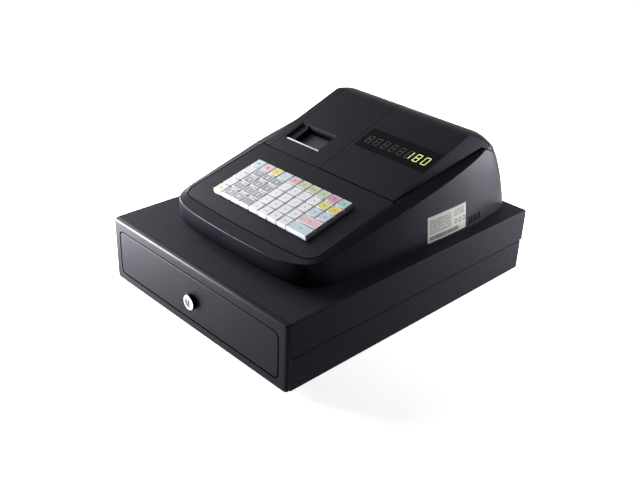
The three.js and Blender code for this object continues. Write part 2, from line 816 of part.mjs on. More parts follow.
function rearRimBody(drop) {
  const w = deckHalfWidth + grooveWidth;
  const fall = rimReach * Math.tan(rimSideSlope);
  const outline = [
    [-w - rimReach, -housingDepth], [w + rimReach, -housingDepth], [w + rimReach, -fall - drop],
    [w, -drop], [-w, -drop], [-w - rimReach, -fall - drop],
  ];
  const body = panel(outline, -2, caseRearY + rimReach);
  body.applyMatrix4(ledgeFrame);
  return body;
}

// Everything under the parting line between the lower and the upper case
function belowParting(drop, front) {
  const y0 = caseFrontY - overrun;
  const rearTop = housingTop + partingRearHeight - drop;
  const ledgeTop = seamZ + (ledgeEndY - seamY) * Math.tan(ledgeTilt) - drop;
  const outline = [
    [y0, front], [caseRearY + overrun, front], [caseRearY + overrun, rearTop], [partingRearY, rearTop],
    [ledgeEndY, ledgeTop], [ledgeEndY - rimReach, ledgeTop + 2 * rimReach], [y0, ledgeTop + 2 * rimReach],
  ];
  return crossBar(outline, -housingWidth, housingWidth);
}

function buildLowerCase() {
  const rims = solid(rimBody(deckFrame, grooveWidth, 0, 1)).add(solid(rearRimBody(0)));
  const lowered = solid(rimBody(deckFrame, grooveWidth, caseWall, 1)).add(solid(rearRimBody(caseWall)));
  let body = solid(caseWalls(0, 0, 2, rearStations)).intersect(rims).intersect(solid(belowParting(0, 0)));
  const hollow = solid(caseWalls(caseWall, caseWall, 1, rearStations / 2)).intersect(lowered)
    .intersect(solid(belowParting(caseWall, caseBase + caseWall)));
  body = body.subtract(hollow);
  const rebate = slab(deckOutline(grooveWidth, 1), -deckThickness - seat, rimReach);
  rebate.applyMatrix4(deckFrame);
  const open = deckHalfWidth - deckSeatWidth;
  const deckOpening = block(-open, open, -deckLength + deckBow + 2 * deckSeatWidth, -3 * deckSeatWidth,
    -rimReach / 3, rimReach);
  deckOpening.applyMatrix4(deckFrame);
  const w = deckHalfWidth + grooveWidth;
  const rearRebate = block(-w, w, -overrun, ledgeEndY - seamY - overrun, -deckThickness - seat, rimReach);
  rearRebate.applyMatrix4(ledgeFrame);
  const rearOpening = block(-open, open, 3 * deckSeatWidth, ledgeEndY - seamY - 2 * overrun, -rimReach / 3,
    rimReach);
  rearOpening.applyMatrix4(ledgeFrame);
  body = cut(body, rebate, deckOpening, rearRebate, rearOpening);
  for (let i = 0; i < ventCount; i += 1) {
    const y = ventStartY + i * ventPitch;
    body = cut(body, block(caseHalfWidth / 2, caseHalfWidth + overrun, y, y + ventWidth,
      caseBase + ventBottom, caseBase + ventBottom + ventHeight));
  }
  body = body.subtract(customerPocket(0));
  const glandZ = caseBase + glandHeight;
  return cut(body, rod('y', glandRadius + seat, caseRearY - 3 * caseWall, caseRearY + overrun,
    [glandX, glandZ], 24));
}

function customerPocket(clear) {
  const low = caseBase + customerWindowBottom;
  const high = low + customerWindowHeight;
  const at = (z) => {
    let t = 1;
    while (rearCurve.getPoint(t).y < z) t -= 0.002;
    return rearCurve.getPoint(t).x;
  };
  const lean = Math.atan2(at(low) - at(high), customerWindowHeight);
  const plate = new THREE.BoxGeometry(customerWindowWidth - 2 * clear, 2 * (windowThickness - clear / 2),
    customerWindowHeight - 2 * clear);
  plate.rotateX(lean);
  plate.translate(customerWindowX, (at(low) + at(high)) / 2, (low + high) / 2);
  return solid(plate);
}

function buildKeyboardDeck() {
  const rings = [
    deckOutline(0, overrun).map(([x, s]) => [x, s, -deckThickness]),
    deckOutline(0, overrun).map(([x, s]) => [x, s, -deckEdgeRound]),
    deckOutline(-deckEdgeRound, overrun).map(([x, s]) => [x, s, 0]),
  ];
  const half = keyColumns * keyPitchX / 2 + wellClearance;
  const back = -keyBackEdge + wellClearance;
  const front = -keyBackEdge - keyRows * keyPitchY - wellClearance;
  const behind = block(-housingWidth, housingWidth, seamY - grooveWidth / 2, caseRearY, caseBase,
    seamZ + overrun);
  behind.applyMatrix4(deckFrame.clone().invert());
  return cut(solid(loft(rings)), block(-half, half, front, back, -rimReach, rimReach), behind);
}

// Rounded walls of the upper case: they flare below the upper panel
function wingWalls(inset) {
  const rings = [];
  const stations = rearStations / 2;
  const low = housingTop + partingRearHeight - 3 * overrun;
  for (let i = 0; i <= stations; i += 1) {
    const t = wingFootShare + (ridgeShare - wingFootShare) * (i / stations);
    const p = rearCurve.getPoint(t);
    const z = i === 0 ? low : p.y;
    const panelZ = (y) => seamZ + (y - seamY) * Math.tan(upperTilt);
    const sideX = (y) => wingHalfWidth - inset + wingFlareShare * (panelZ(y) - z);
    const cornerY = p.x - inset - wingCorner;
    const cornerX = sideX(cornerY) - wingCorner;
    const right = [[sideX(seamY), seamY + grooveWidth / 2]];
    for (let k = 0; k <= 5; k += 1) {
      const angle = (Math.PI / 2) * (k / 5);
      right.push([cornerX + wingCorner * Math.cos(angle), cornerY + wingCorner * Math.sin(angle)]);
    }
    const left = right.map(([x, y]) => [-x, y]).reverse();
    rings.push([...right, ...left].map(([x, y]) => [x, y, z]));
  }
  const top = rings[rings.length - 1].map(([x, y, z]) => [x, y, z + overrun]);
  rings.push(top);
  return loft(rings);
}

// Everything over the parting line, lifted by a thickness
function aboveParting(lift) {
  const top = seamZ + housingHeight;
  const start = seamY - 2 * overrun;
  const rearTop = housingTop + partingRearHeight + lift;
  const ledgeAt = (y) => seamZ + (y - seamY) * Math.tan(ledgeTilt) + lift;
  const outline = [
    [start, ledgeAt(start)], [ledgeEndY, ledgeAt(ledgeEndY)], [partingRearY, rearTop],
    [caseRearY + overrun, rearTop], [caseRearY + overrun, top], [start, top],
  ];
  return solid(crossBar(outline, -housingWidth, housingWidth));
}

function buildUpperCase() {
  const tall = seamZ + housingHeight;
  const start = seamY + grooveWidth / 2;
  const top = solid(crossBar(topProfile(0), -housingWidth, housingWidth));
  const skirtHalf = deckHalfWidth - seat;
  const skirt = block(-skirtHalf, skirtHalf, grooveWidth, ledgeEndY - seamY - 2 * overrun, -deckThickness,
    overrun);
  skirt.applyMatrix4(ledgeFrame);
  const shell = solid(wingWalls(0)).intersect(solid(caseWalls(0, 0, 2, rearStations))).intersect(top)
    .intersect(aboveParting(seat));
  const side = wingHalfWidth - seat;
  const plug = solid(skirt).intersect(top)
    .intersect(solid(block(-side, side, start, caseRearY, caseBase, tall)));
  let body = shell.add(plug);
  const inner = wingHalfWidth - wingWall;
  const under = solid(crossBar(topProfile(wingWall), -housingWidth, housingWidth));
  const room = solid(block(-housingWidth, housingWidth, seamY + 2 * overrun, caseRearY, caseBase, tall));
  const between = solid(block(-inner, inner, seamY, coverRearY, caseBase, tall));
  const wings = solid(wingWalls(wingWall)).intersect(solid(caseWalls(wingWall, 0, 1, rearStations)))
    .intersect(aboveParting(wingWall).add(solid(block(-inner, inner, ledgeEndY, caseRearY, caseBase, tall))));
  body = body.subtract(between.add(wings).intersect(under).intersect(room));
  const ribLow = hingeZ - hingeEarRadius - overrun;
  const ribs = join(
    block(coverLeft - coverGap - bayRib, coverLeft - coverGap, start + 4 * overrun,
      coverRearY + 2 * overrun, ribLow, tall),
    block(coverRight + coverGap, coverRight + coverGap + bayRib, start + 4 * overrun,
      coverRearY + 2 * overrun, ribLow, tall),
  ).intersect(solid(crossBar(topProfile(wingWall / 2), -housingWidth, housingWidth)))
    .subtract(solid(crossBar(topProfile(bayRibDrop), -housingWidth, housingWidth)));
  body = body.add(ribs);
  const bay = block(coverLeft - coverGap, coverRight + coverGap, seamY - overrun, coverRearY + coverGap,
    caseBase, tall);
  const windowHole = block(windowLeft + windowLip, windowRight - windowLip, windowStart + windowLip,
    windowEnd - windowLip, -rimReach / 2, overrun);
  const windowRebate = block(windowLeft - seat, windowRight + seat, windowStart - seat, windowEnd + seat,
    -windowThickness - seat, overrun);
  windowHole.applyMatrix4(upperFrame);
  windowRebate.applyMatrix4(upperFrame);
  const pinHole = rod('x', hingePinRadius + seat, coverLeft - coverGap - 2 * bayRib,
    coverRight + coverGap + 2 * bayRib, [hingeY, hingeZ], 20);
  const swing = rod('x', hingeDepth + coverGap, coverLeft - coverGap, coverRight + coverGap,
    [hingeY, hingeZ], 40);
  return cut(body, bay, windowHole, windowRebate, pinHole, swing);
}

function ridgeHeightAt(y) {
  let t = 0;
  while (t < 1 && rearCurve.getPoint(t).x < y) t += 0.002;
  return rearCurve.getPoint(t).y;
}

const hingeZ = ridgeHeightAt(hingeY) - hingeDepth;

// Paper recess in the cover, with a shallow scoop for a fingertip on its left
function pocketBody(grow, deeper) {
  const hollow = (left, leftSlope, right, depth) => {
    const rise = overrun / depth;
    const level = (share, n) => {
      const front = pocketStart + 2 * share - grow;
      const rear = pocketEnd - pocketSlope * share + grow;
      const from = left + leftSlope * share - grow;
      const to = right - pocketSlope * share + grow;
      return [[from, front, n], [to, front, n], [to, rear, n], [from, rear, n]];
    };
    return loft([level(1, -depth - deeper), level(-rise, overrun)]);
  };
  const deep = hollow(pocketLeft + scoopLength, pocketLeftSlope, pocketRight, pocketDepth);
  const scoop = hollow(pocketLeft, pocketSlope, pocketLeft + 2 * scoopLength, scoopDepth);
  deep.applyMatrix4(upperFrame);
  scoop.applyMatrix4(upperFrame);
  return join(deep, scoop);
}

function buildPrinterCover() {
  const start = seamY + grooveWidth / 2;
  const tall = seamZ + housingHeight;
  const low = solid(crossBar(topProfile(coverThickness), -housingWidth, housingWidth));
  const high = solid(crossBar(topProfile(0), -housingWidth, housingWidth));
  const slanted = [
    [start, seamZ - coverFrontSlant], [start + coverFrontSlant, seamZ - 3 * coverFrontSlant],
    [start + coverFrontSlant, caseBase],
    [coverRearY, caseBase], [coverRearY, tall], [start, tall],
  ];
  const zone = solid(crossBar(slanted, coverLeft, coverRight));
  let body = high.subtract(low).intersect(zone);
  body = body.add(pocketBody(coverThickness * 0.8, coverThickness * 0.8).intersect(high));
  body = body.subtract(pocketBody(0, 0));
  const slotLeft = paperCentreX - paperWidth / 2;
  const slot = block(pocketLeft + scoopLength + pocketLeftSlope / 2, slotLeft + paperWidth - seat,
    pocketStart - 1, pocketStart + 2 + paperSlot,
    -pocketDepth - 2 * coverThickness, -pocketDepth + paperSlot);
  slot.applyMatrix4(upperFrame);
  body = cut(body, slot);
  for (const [edge, side] of [[coverLeft, 1], [coverRight, -1]]) {
    const inner = edge + side * hingeEarThickness;
    const ear = join(
      rod('x', hingeEarRadius, Math.min(edge, inner), Math.max(edge, inner), [hingeY, hingeZ], 20),
      block(Math.min(edge, inner), Math.max(edge, inner), hingeY - hingeEarRadius,
        hingeY + hingeEarRadius * 0.6,
        hingeZ, hingeZ + hingeDepth),
    ).intersect(high);
    const pinFrom = edge - side * (coverGap + hingePinReach);
    const pinTo = edge + side * hingeEarThickness / 2;
    body = body.add(ear)
      .add(solid(rod('x', hingePinRadius, Math.min(pinFrom, pinTo), Math.max(pinFrom, pinTo),
        [hingeY, hingeZ], 20)));
  }
  return body;
}

// Printer: bucket frame, paper roll on its spindle, platen
const printerBase = caseBase + caseWall + seat;
const rollZ = seamZ + rollInset * Math.tan(upperTilt) - rollDrop;
const platenZ = seamZ + platenInset * Math.tan(upperTilt) - platenDrop;
const headTop = platenZ - platenRadius - headGap;

function buildPrinterFrame() {
  const left = paperCentreX - paperWidth / 2 - seat;
  const right = paperCentreX + paperWidth / 2 + seat;
  const topLine = (y) => seamZ + (y - seamY) * Math.tan(upperTilt) - pocketDepth - 3 * coverThickness;
  const sideOutline = [
    [printerFrontY, printerBase], [printerRearY, printerBase], [printerRearY, rollZ + spindleRadius],
    [rollY + spindleRadius + seat, rollZ + 2 * spindleRadius],
    [rollY + spindleRadius + seat, rollZ - spindleRadius - seat],
    [rollY - spindleRadius - seat, rollZ - spindleRadius - seat],
    [rollY - spindleRadius - seat, rollZ + 2 * spindleRadius],
    [platenY + 2 * platenRadius, platenZ + platenShaftRadius], [platenY + platenRadius, topLine(platenY)],
    [printerFrontY, topLine(printerFrontY)],
  ];
  let body = join(
    crossBar(sideOutline, left - printerWall, left),
    crossBar(sideOutline, right, right + printerWall),
    block(left - printerWall, right + printerWall, printerFrontY, printerRearY, printerBase,
      printerBase + printerWall),
    block(left - printerWall, right + printerWall, printerFrontY, printerFrontY + printerWall, printerBase,
      headTop),
    block(left - printerWall, right + printerWall, printerFrontY + printerWall / 2,
      platenY - platenRadius / 2 + printerWall,
      headTop - headDepth, headTop),
    block(left - printerWall, right + printerWall, printerRearY - printerWall, printerRearY, printerBase,
      rollZ),
  );
  return cut(body, rod('x', platenShaftRadius + seat, left - overrun, right + overrun, [platenY, platenZ],
    20));
}

function buildPaperRoll() {
  const half = paperWidth / 2;
  const spindle = half + seat + spindleReach;
  return join(
    rod('x', paperRadius, paperCentreX - half + seat, paperCentreX + half - seat, [rollY, rollZ], 40),
    rod('x', spindleRadius, paperCentreX - spindle, paperCentreX + spindle, [rollY, rollZ], 20),
  );
}

function buildPlaten() {
  const half = paperWidth / 2 - seat;
  const shaft = paperWidth / 2 + seat + printerWall + 1;
  return join(
    rod('x', platenRadius, paperCentreX - half, paperCentreX + half, [platenY, platenZ], 28),
    rod('x', platenShaftRadius, paperCentreX - shaft, paperCentreX + shaft, [platenY, platenZ], 20),
  );
}

// Gland where a supply cord would leave, with its grip rings
function buildCordGland() {
  const z = caseBase + glandHeight;
  const rear = caseRearY + glandLength - overrun;
  const grip = (rear - caseRearY - glandFlange) / (2 * glandRings);
  let body = join(
    rod('y', glandRadius, caseRearY - 2 * caseWall, rear, [glandX, z], 24),
    rod('y', glandFlangeRadius, caseRearY + seat, caseRearY + seat + glandFlange, [glandX, z], 24),
  );
  for (let i = 0; i < glandRings; i += 1) {
    const y = caseRearY + seat + glandFlange + (2 * i + 1) * grip;
    const ring = solid(rod('y', glandRadius + overrun, y, y + grip * 0.9, [glandX, z], 24))
      .subtract(solid(rod('y', glandRadius * glandNeckShare, y - overrun, y + overrun, [glandX, z], 24)));
    body = body.subtract(ring);
  }
  return body;
}

// Keyboard: caps with stems in a perforated bed

function keyPlace(column, row, span = 1) {
  return [
    (column + (span - 1) / 2 - (keyColumns - 1) / 2) * keyPitchX,
    -keyBackEdge - (row + 0.5) * keyPitchY,
  ];
}

function keyCap(column, row, span = 1) {
  const [x, s] = keyPlace(column, row, span);
  const halfX = (span * keyPitchX - keyGap) / 2;
  const halfY = (keyPitchY - keyGap) / 2;
  const ring = (inset, n) => roundedRectangle(x - halfX + inset, x + halfX - inset, s - halfY + inset,
    s + halfY - inset, keyCorner, 1).map(([a, b]) => [a, b, n]);
  const cap = loft([ring(0, -keySkirt), ring(0, keyTop - keyBevelDrop), ring(keyBevel, keyTop)]);
  const stem = block(x - keyStem / 2, x + keyStem / 2, s - keyStem / 2, s + keyStem / 2, -keyStemEnd, 0);
  return solid(cap).add(solid(stem));
}

function buildKeyBed() {
  const half = keyColumns * keyPitchX / 2 + bedMargin;
  const back = -keyBackEdge + bedMargin;
  const front = -keyBackEdge - keyRows * keyPitchY - bedMargin;
  let body = solid(block(-half, half, front, back, -bedTop - bedThickness, -deckThickness - seat));
  body = cut(body, block(-half + bedRim, half - bedRim, front + bedRim, back - bedRim, -bedTop, 0));
  for (let row = 0; row < keyRows; row += 1) {
    for (let column = 0; column < keyColumns; column += 1) {
      if (isSpanned(column, row)) continue;
      const [x, s] = keyPlace(column, row, spanAt(column, row));
      const hole = keyStem / 2 + seat;
      body = cut(body, block(x - hole, x + hole, s - hole, s + hole, -bedTop - 2 * bedThickness, 0));
    }
  }
  return body;
}

// Rows from the back to the front. A wide key takes its neighbour's place.
const keyRowsColours = [
  ['cyan', 'pink', 'yellow', 'blue', 'rose', 'sage', 'green', 'sage', 'magenta', 'teal'],
  ['lavender', 'grey', 'grey', 'grey', 'white', 'white', 'white', 'white', 'yellow', 'amber'],
  ['lavender', 'grey', 'grey', 'grey', 'white', 'white', 'white', 'white', 'blue', 'blue'],
  ['lavender', 'grey', 'grey', 'grey', 'white', 'white', 'white', 'white', 'pink', null],
  ['green', 'grey', 'grey', 'grey', 'white', 'white', 'white', 'white', 'cyan', null],
];
const departmentColumns = [4, 5, 6, 7];
const departmentLinkDepth = 1.6;

function isSpanned(column, row) {
  return keyRowsColours[row][column] === null;
}

function spanAt(column, row) {
  return column + 1 < keyColumns && isSpanned(column + 1, row) ? 2 : 1;
}

function isDepartment(column, row) {
  return row > 0 && departmentColumns.includes(column);
}

function buildDepartmentKeys() {
  const first = departmentColumns[0];
  const last = departmentColumns[departmentColumns.length - 1];
  const [x0, s1] = keyPlace(first, 1);
  const [x1, s0] = keyPlace(last, keyRows - 1);
  const reach = keyPitchX / 2 - keyGap;
  let body = solid(block(x0 - reach, x1 + reach, s0 - keyPitchY / 2 + keyGap, s1 + keyPitchY / 2 - keyGap,
    -keySkirt, -keySkirt + departmentLinkDepth));
  for (let row = 1; row < keyRows; row += 1) {
    for (const column of departmentColumns) body = body.add(keyCap(column, row));
  }
  return body;
}

// Assembly

addNode(register, 'housing_cover', buildHousingCover(), finishes.steel);
addNode(register, 'housing_base', buildHousingBase(), finishes.steel);
addNode(register, 'front_frame', buildFrontFrame(), finishes.frame);
const footPlaces = [[-1, -1], [1, -1], [-1, 1], [1, 1]];
footPlaces.forEach(([sx, sy], i) => {
  const centre = [sx * (halfWidth - footInset), sy * (backY - footInset)];
  addNode(register, `foot_${i + 1}`, rod('z', footRadius, 0, footHeight, centre, 24), finishes.rubber);
});

addNode(register, 'drawer_front', buildDrawerFront(), finishes.frame);
addNode(register, 'drawer_tray', buildDrawerTray(), finishes.steel);
addNode(register, 'till_insert', buildTillInsert(), finishes.insert);
for (let i = 0; i < noteBayCount; i += 1) {
  addNode(register, `note_clip_${i + 1}`, buildNoteClip(i), finishes.insert);
}
addNode(register, 'lock_barrel', buildLockBarrel(), finishes.chrome);
addNode(register, 'lock_plug', buildLockPlug(), finishes.chrome);
addNode(register, 'latch_lever', buildLatchLever(), finishes.zinc);

addNode(register, 'lower_case', buildLowerCase(), finishes.plastic);
addNode(register, 'upper_case', buildUpperCase(), finishes.plastic);
addNode(register, 'printer_cover', buildPrinterCover(), finishes.plastic);
addNode(register, 'customer_window', customerPocket(seat), finishes.smoked);
addNode(register, 'printer_frame', buildPrinterFrame(), finishes.grey);
addNode(register, 'paper_roll', buildPaperRoll(), finishes.paper);
addNode(register, 'platen_roller', buildPlaten(), finishes.rubber);
addNode(register, 'cord_gland', buildCordGland(), finishes.rubber);

const deckGroup = new THREE.Group();
deckGroup.position.set(0, seamY, seamZ);
deckGroup.rotation.x = deckTilt;
register.add(deckGroup);
addNode(deckGroup, 'keyboard_deck', buildKeyboardDeck(), finishes.plastic);
addNode(deckGroup, 'key_bed', buildKeyBed(), finishes.grey);
for (let row = 0; row < keyRows; row += 1) {
  for (let column = 0; column < keyColumns; column += 1) {
    if (isSpanned(column, row) || isDepartment(column, row)) continue;
    const finish = { color: keyColours[keyRowsColours[row][column]], roughness: 0.35, metalness: 0 };
    addNode(deckGroup, `key_${row + 1}_${column + 1}`, keyCap(column, row, spanAt(column, row)), finish);
  }
}
addNode(deckGroup, 'department_keys', buildDepartmentKeys(), { color: keyColours.white, roughness: 0.35,
  metalness: 0 });

const upperGroup = new THREE.Group();
upperGroup.position.set(0, seamY, seamZ);
upperGroup.rotation.x = upperTilt;
register.add(upperGroup);
addNode(upperGroup, 'display_window',
  block(windowLeft, windowRight, windowStart, windowEnd, -windowThickness, 0), finishes.smoked);

export default register;
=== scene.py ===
"""Looks of an electronic cash register that stands on a steel cash drawer.

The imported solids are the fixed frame. Each sub-assembly is a class that holds its sizes in
metres, refines the solids it owns, adds the pieces too fine for them, and dresses them all.
"""

import logging
import math
from dataclasses import dataclass, field
from enum import Enum
from functools import reduce
from typing import Callable

import bmesh
import bpy
from mathutils import Matrix, Vector


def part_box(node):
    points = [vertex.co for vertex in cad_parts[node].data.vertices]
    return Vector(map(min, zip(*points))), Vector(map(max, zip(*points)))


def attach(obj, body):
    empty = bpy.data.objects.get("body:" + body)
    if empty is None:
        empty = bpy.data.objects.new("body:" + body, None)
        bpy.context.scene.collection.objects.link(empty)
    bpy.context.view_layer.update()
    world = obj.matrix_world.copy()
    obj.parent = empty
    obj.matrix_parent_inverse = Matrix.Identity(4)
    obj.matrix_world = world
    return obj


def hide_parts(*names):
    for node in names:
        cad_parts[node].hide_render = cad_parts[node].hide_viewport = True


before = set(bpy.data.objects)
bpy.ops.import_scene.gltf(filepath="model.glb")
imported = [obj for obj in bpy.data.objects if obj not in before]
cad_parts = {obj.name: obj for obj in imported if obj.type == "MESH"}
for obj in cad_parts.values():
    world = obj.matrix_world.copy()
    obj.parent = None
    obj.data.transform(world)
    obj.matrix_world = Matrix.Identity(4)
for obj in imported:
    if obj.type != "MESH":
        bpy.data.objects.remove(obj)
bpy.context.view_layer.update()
logging.basicConfig(level=logging.INFO, format="%(message)s")
log = logging.getLogger("cash_register")

MM = 0.001
CLOSE = 0.001 * MM  # lengths nearer than this count as the same
MERGE_WITHIN = 0.008 * MM
FLAT_DEGREES = 0.3
FACING = 0.99  # least part of a normal along the axis that it faces
UPWARD = 0.88  # least upward part of a normal of the sloping rim
SIDEWAYS = 0.5  # most of a normal along an axis that it faces away from
ACROSS_GAP = 0.3  # the same for the walls of the front gap
LIP_WIDTH = 1.3 * MM
LIP_LEVEL = 112.0 * MM
GAP_REACH = 2.5 * MM
KEY_SLOT_FLOOR = -210.2 * MM
WHITE = (1.0, 1.0, 1.0, 1.0)

Vec3 = tuple[float, float, float]
Span = tuple[float, float]
Rgba = tuple[float, float, float, float]
Piece = bpy.types.Object
Socket = bpy.types.NodeSocket
Source = Socket | float | Vec3 | Rgba
Inputs = dict[str | int, Source]
Pick = Callable[[object], bool]


# Planes that the register's top is built on


@dataclass(frozen=True)
class SlopedPlane:
    """A plane through the seam across the register's top, tilted up towards the back."""

    tilt_degrees: float
    seam_y: float = -2.0 * MM
    seam_z: float = 150.304 * MM

    def matrix(self, x: float = 0.0, along: float = 0.0, lift: float = 0.0) -> Matrix:
        """Matrix of a place so far right of the middle, up the slope from the seam and out of the plane."""
        turn = Matrix.Rotation(math.radians(self.tilt_degrees), 4, "X")
        return Matrix.Translation((0.0, self.seam_y, self.seam_z)) @ turn @ Matrix.Translation((x, along, lift))


DECK_PLANE = SlopedPlane(14.0)
UPPER_PLANE = SlopedPlane(20.0)


# Material graphs


def linear(code: int) -> Rgba:
    """Linear colour of a display colour written as 0xRRGGBB."""
    channels = [((code >> shift) & 255) / 255 for shift in (16, 8, 0)]
    return (*(c / 12.92 if c <= 0.04045 else ((c + 0.055) / 1.055) ** 2.4 for c in channels), 1.0)


def put(target: object, /, **settings: object) -> None:
    """Sets several attributes of one thing."""
    for key, value in settings.items():
        setattr(target, key, value)


class Nodes:
    """A node tree with short ways to add and join its nodes."""

    def __init__(self, tree: bpy.types.NodeTree) -> None:
        """Starts with an empty tree."""
        self.tree = tree
        tree.nodes.clear()

    def add(self, kind: str, inputs: Inputs | None = None, **settings: object) -> bpy.types.Node:
        """Adds a node.

        Args:
            kind: The node's type name.
            inputs: What goes into its inputs, by name or number.
            settings: Attributes to set on it.

        Returns:
            The node.
        """
        node = self.tree.nodes.new(kind)
        put(node, **settings)
        for key, source in (inputs or {}).items():
            self.join(source, node.inputs[key])
        return node

    def join(self, source: Source, target: Socket) -> None:
        """Links a socket to an input, or sets the input to a value.

        Args:
            source: An output socket or a value.
            target: The input.
        """
        if isinstance(source, Socket):
            self.tree.links.new(source, target)
        else:
            target.default_value = source

    def math(self, operation: str, *values: Source) -> Socket:
        """Result of a math operation on sockets or numbers."""
        return self.add("ShaderNodeMath", dict(enumerate(values)), operation=operation).outputs[0]

    def by_ray(self, hidden: Socket, direct: Socket) -> Socket:
        """Chooses between two shaders by the kind of ray.

        Args:
            hidden: The shader for rays that carry light between surfaces.
            direct: The shader for camera, glossy and transmission rays.

        Returns:
            The chosen shader's socket.
        """
        path = self.add("ShaderNodeLightPath")
        kinds = [path.outputs[kind] for kind in ("Is Camera Ray", "Is Glossy Ray", "Is Transmission Ray")]
        share = reduce(lambda one, other: self.math("MAXIMUM", one, other), kinds)
        return self.add("ShaderNodeMixShader", {"Fac": share, 1: hidden, 2: direct}).outputs[0]


class Graph(Nodes):
    """The nodes of a new material with a Principled shader."""

    def __init__(self, name: str, colour: int = 0xFFFFFF) -> None:
        """Makes the material with its coordinates, its shader and its output.

        Args:
            name: The material's name.
            colour: Its display colour.
        """
        self.base = linear(colour)
        self.material = bpy.data.materials.new(name)
        self.material.use_nodes = True
        super().__init__(self.material.node_tree)
        self.output = self.add("ShaderNodeOutputMaterial")
        self.shader = self.add("ShaderNodeBsdfPrincipled")
        self.join(self.shader.outputs["BSDF"], self.output.inputs["Surface"])
        coordinates = self.add("ShaderNodeTexCoord").outputs
        self.place, self.uv = coordinates["Object"], coordinates["UV"]

    def feed(self, name: str, source: Source) -> None:
        """Links or sets one of the shader's inputs."""
        self.join(source, self.shader.inputs[name])

    def mapped(self, vector: Socket, scale: Vec3 = (1, 1, 1), shift: Vec3 = (0, 0, 0)) -> Socket:
        """A vector scaled and shifted along each axis."""
        inputs = {"Vector": vector, "Scale": scale, "Location": shift}
        return self.add("ShaderNodeMapping", inputs).outputs["Vector"]

    def noise(self, vector: Socket, cells: float, detail: float = 3.0, rough: float = 0.5) -> Socket:
        """Noise between 0 and 1, with so many cells in a metre and finer layers of a given weight."""
        inputs = {"Vector": vector, "Scale": cells, "Detail": detail, "Roughness": rough}
        return self.add("ShaderNodeTexNoise", inputs).outputs["Fac"]

    def spread(self, value: Socket, low: float = 0.0, high: float = 1.0, start: float = 0.3,
               end: float = 0.7) -> Socket:
        """A value's range from start to end mapped to the range from low to high."""
        inputs = {"Value": value, "From Min": start, "From Max": end, "To Min": low, "To Max": high}
        return self.add("ShaderNodeMapRange", inputs).outputs["Result"]

    def mixed(self, share: Socket, first: Rgba, second: Rgba) -> Socket:
        """A mix of two colours with the given share of the second."""
        return self.add("ShaderNodeMix", {"Factor": share, 6: first, 7: second}, data_type="RGBA").outputs[2]

    def shade(self, share: Socket, dark: float, pale: float) -> Socket:
        """A mix of the material's colour times one factor and times another."""
        pair = [(*(min(1.0, c * factor) for c in self.base[:3]), 1.0) for factor in (dark, pale)]
        return self.mixed(share, *pair)

    def sum(self, first: Socket, second: Socket, weight: float = 1.0) -> Socket:
        """The first value plus the second times a weight."""
        return self.math("MULTIPLY_ADD", second, weight, first)

    def times(self, first: Socket, second: Source) -> Socket:
        """Product of two values."""
        return self.math("MULTIPLY", first, second)

    def band(self, value: Socket, low: float, high: float) -> Socket:
        """1 where a value lies between two numbers, else 0."""
        return self.times(self.math("GREATER_THAN", value, low), self.math("LESS_THAN", value, high))

    def relief(self, height: Socket, depth: float) -> None:
        """Raises the surface by a pattern, so many metres where the pattern is 1."""
        bump = self.add("ShaderNodeBump", {"Strength": 1.0, "Distance": depth, "Height": height})
        self.feed("Normal", bump.outputs["Normal"])


@dataclass(frozen=True)
class Finish:
    """A named finish that builds its material once."""

    name: str
    colour: int

    def material(self) -> bpy.types.Material:
        """The finish's material, made on first use.

        Returns:
            The material.
        """
        if self.name not in bpy.data.materials:
            self.build()
        return bpy.data.materials[self.name]

    def build(self) -> None:
        """Builds the material."""
        raise NotImplementedError


@dataclass(frozen=True)
class MouldedPlastic(Finish):
    """Injection-moulded plastic with a spark-eroded grain."""

    roughness: float = 0.4
    grain: float = 2600.0
    depth: float = 0.03 * MM
    mottle: float = 0.16
    specular: float = 0.5
    gloss: int = 0xFFFFFF
    cloud: float = 16.0
    handled: float = 0.04

    def build(self) -> None:
        """Builds fine grain, soft mottling and handled, slightly shinier patches."""
        g = Graph(self.name, self.colour)
        grain = g.noise(g.place, self.grain, rough=0.6)
        coarse = g.noise(g.place, self.grain * 0.35, detail=2.0)
        cloud = g.noise(g.place, self.cloud)
        tone = g.sum(g.spread(cloud, 0.1, 0.6), g.spread(grain), 0.4)
        g.feed("Base Color", g.shade(tone, 1 - self.mottle, 1 + self.mottle))
        shine = g.spread(cloud, self.roughness - self.handled, self.roughness + 0.03)
        g.feed("Roughness", g.sum(shine, grain, 0.05))
        g.feed("Specular IOR Level", self.specular)
        g.feed("Specular Tint", linear(self.gloss))
        g.relief(g.sum(grain, coarse, 0.6), self.depth)


@dataclass(frozen=True)
class PowderCoat(Finish):
    """Powder paint on sheet steel, with a pebbled skin."""

    roughness: float = 0.45
    pebble: float = 900.0
    depth: float = 0.09 * MM
    specular: float = 0.5
    gloss: int = 0xFFFFFF
    cloud: float = 9.0
    uneven: float = 0.03

    def build(self) -> None:
        """Builds round pebbles with finer noise and a few lighter specks."""
        g = Graph(self.name, self.colour)
        inputs = {"Scale": self.pebble, "Randomness": 1.0, "Vector": g.place}
        cells = g.add("ShaderNodeTexVoronoi", inputs, feature="SMOOTH_F1")
        lumps = g.spread(cells.outputs["Distance"], 1.0, 0.0, 0.0, 0.6)
        fine = g.noise(g.place, self.pebble * 2.4, rough=0.6)
        cloud = g.noise(g.place, self.cloud)
        tone = g.sum(g.spread(cloud, 0.25, 0.5), lumps, 0.35)
        g.feed("Base Color", g.shade(tone, 0.72, 1.35))
        shine = g.spread(cloud, self.roughness - self.uneven, self.roughness + self.uneven)
        g.feed("Roughness", g.sum(shine, fine, 0.08))
        g.feed("Specular IOR Level", self.specular)
        g.feed("Specular Tint", linear(self.gloss))
        g.relief(g.sum(lumps, fine, 0.35), self.depth)


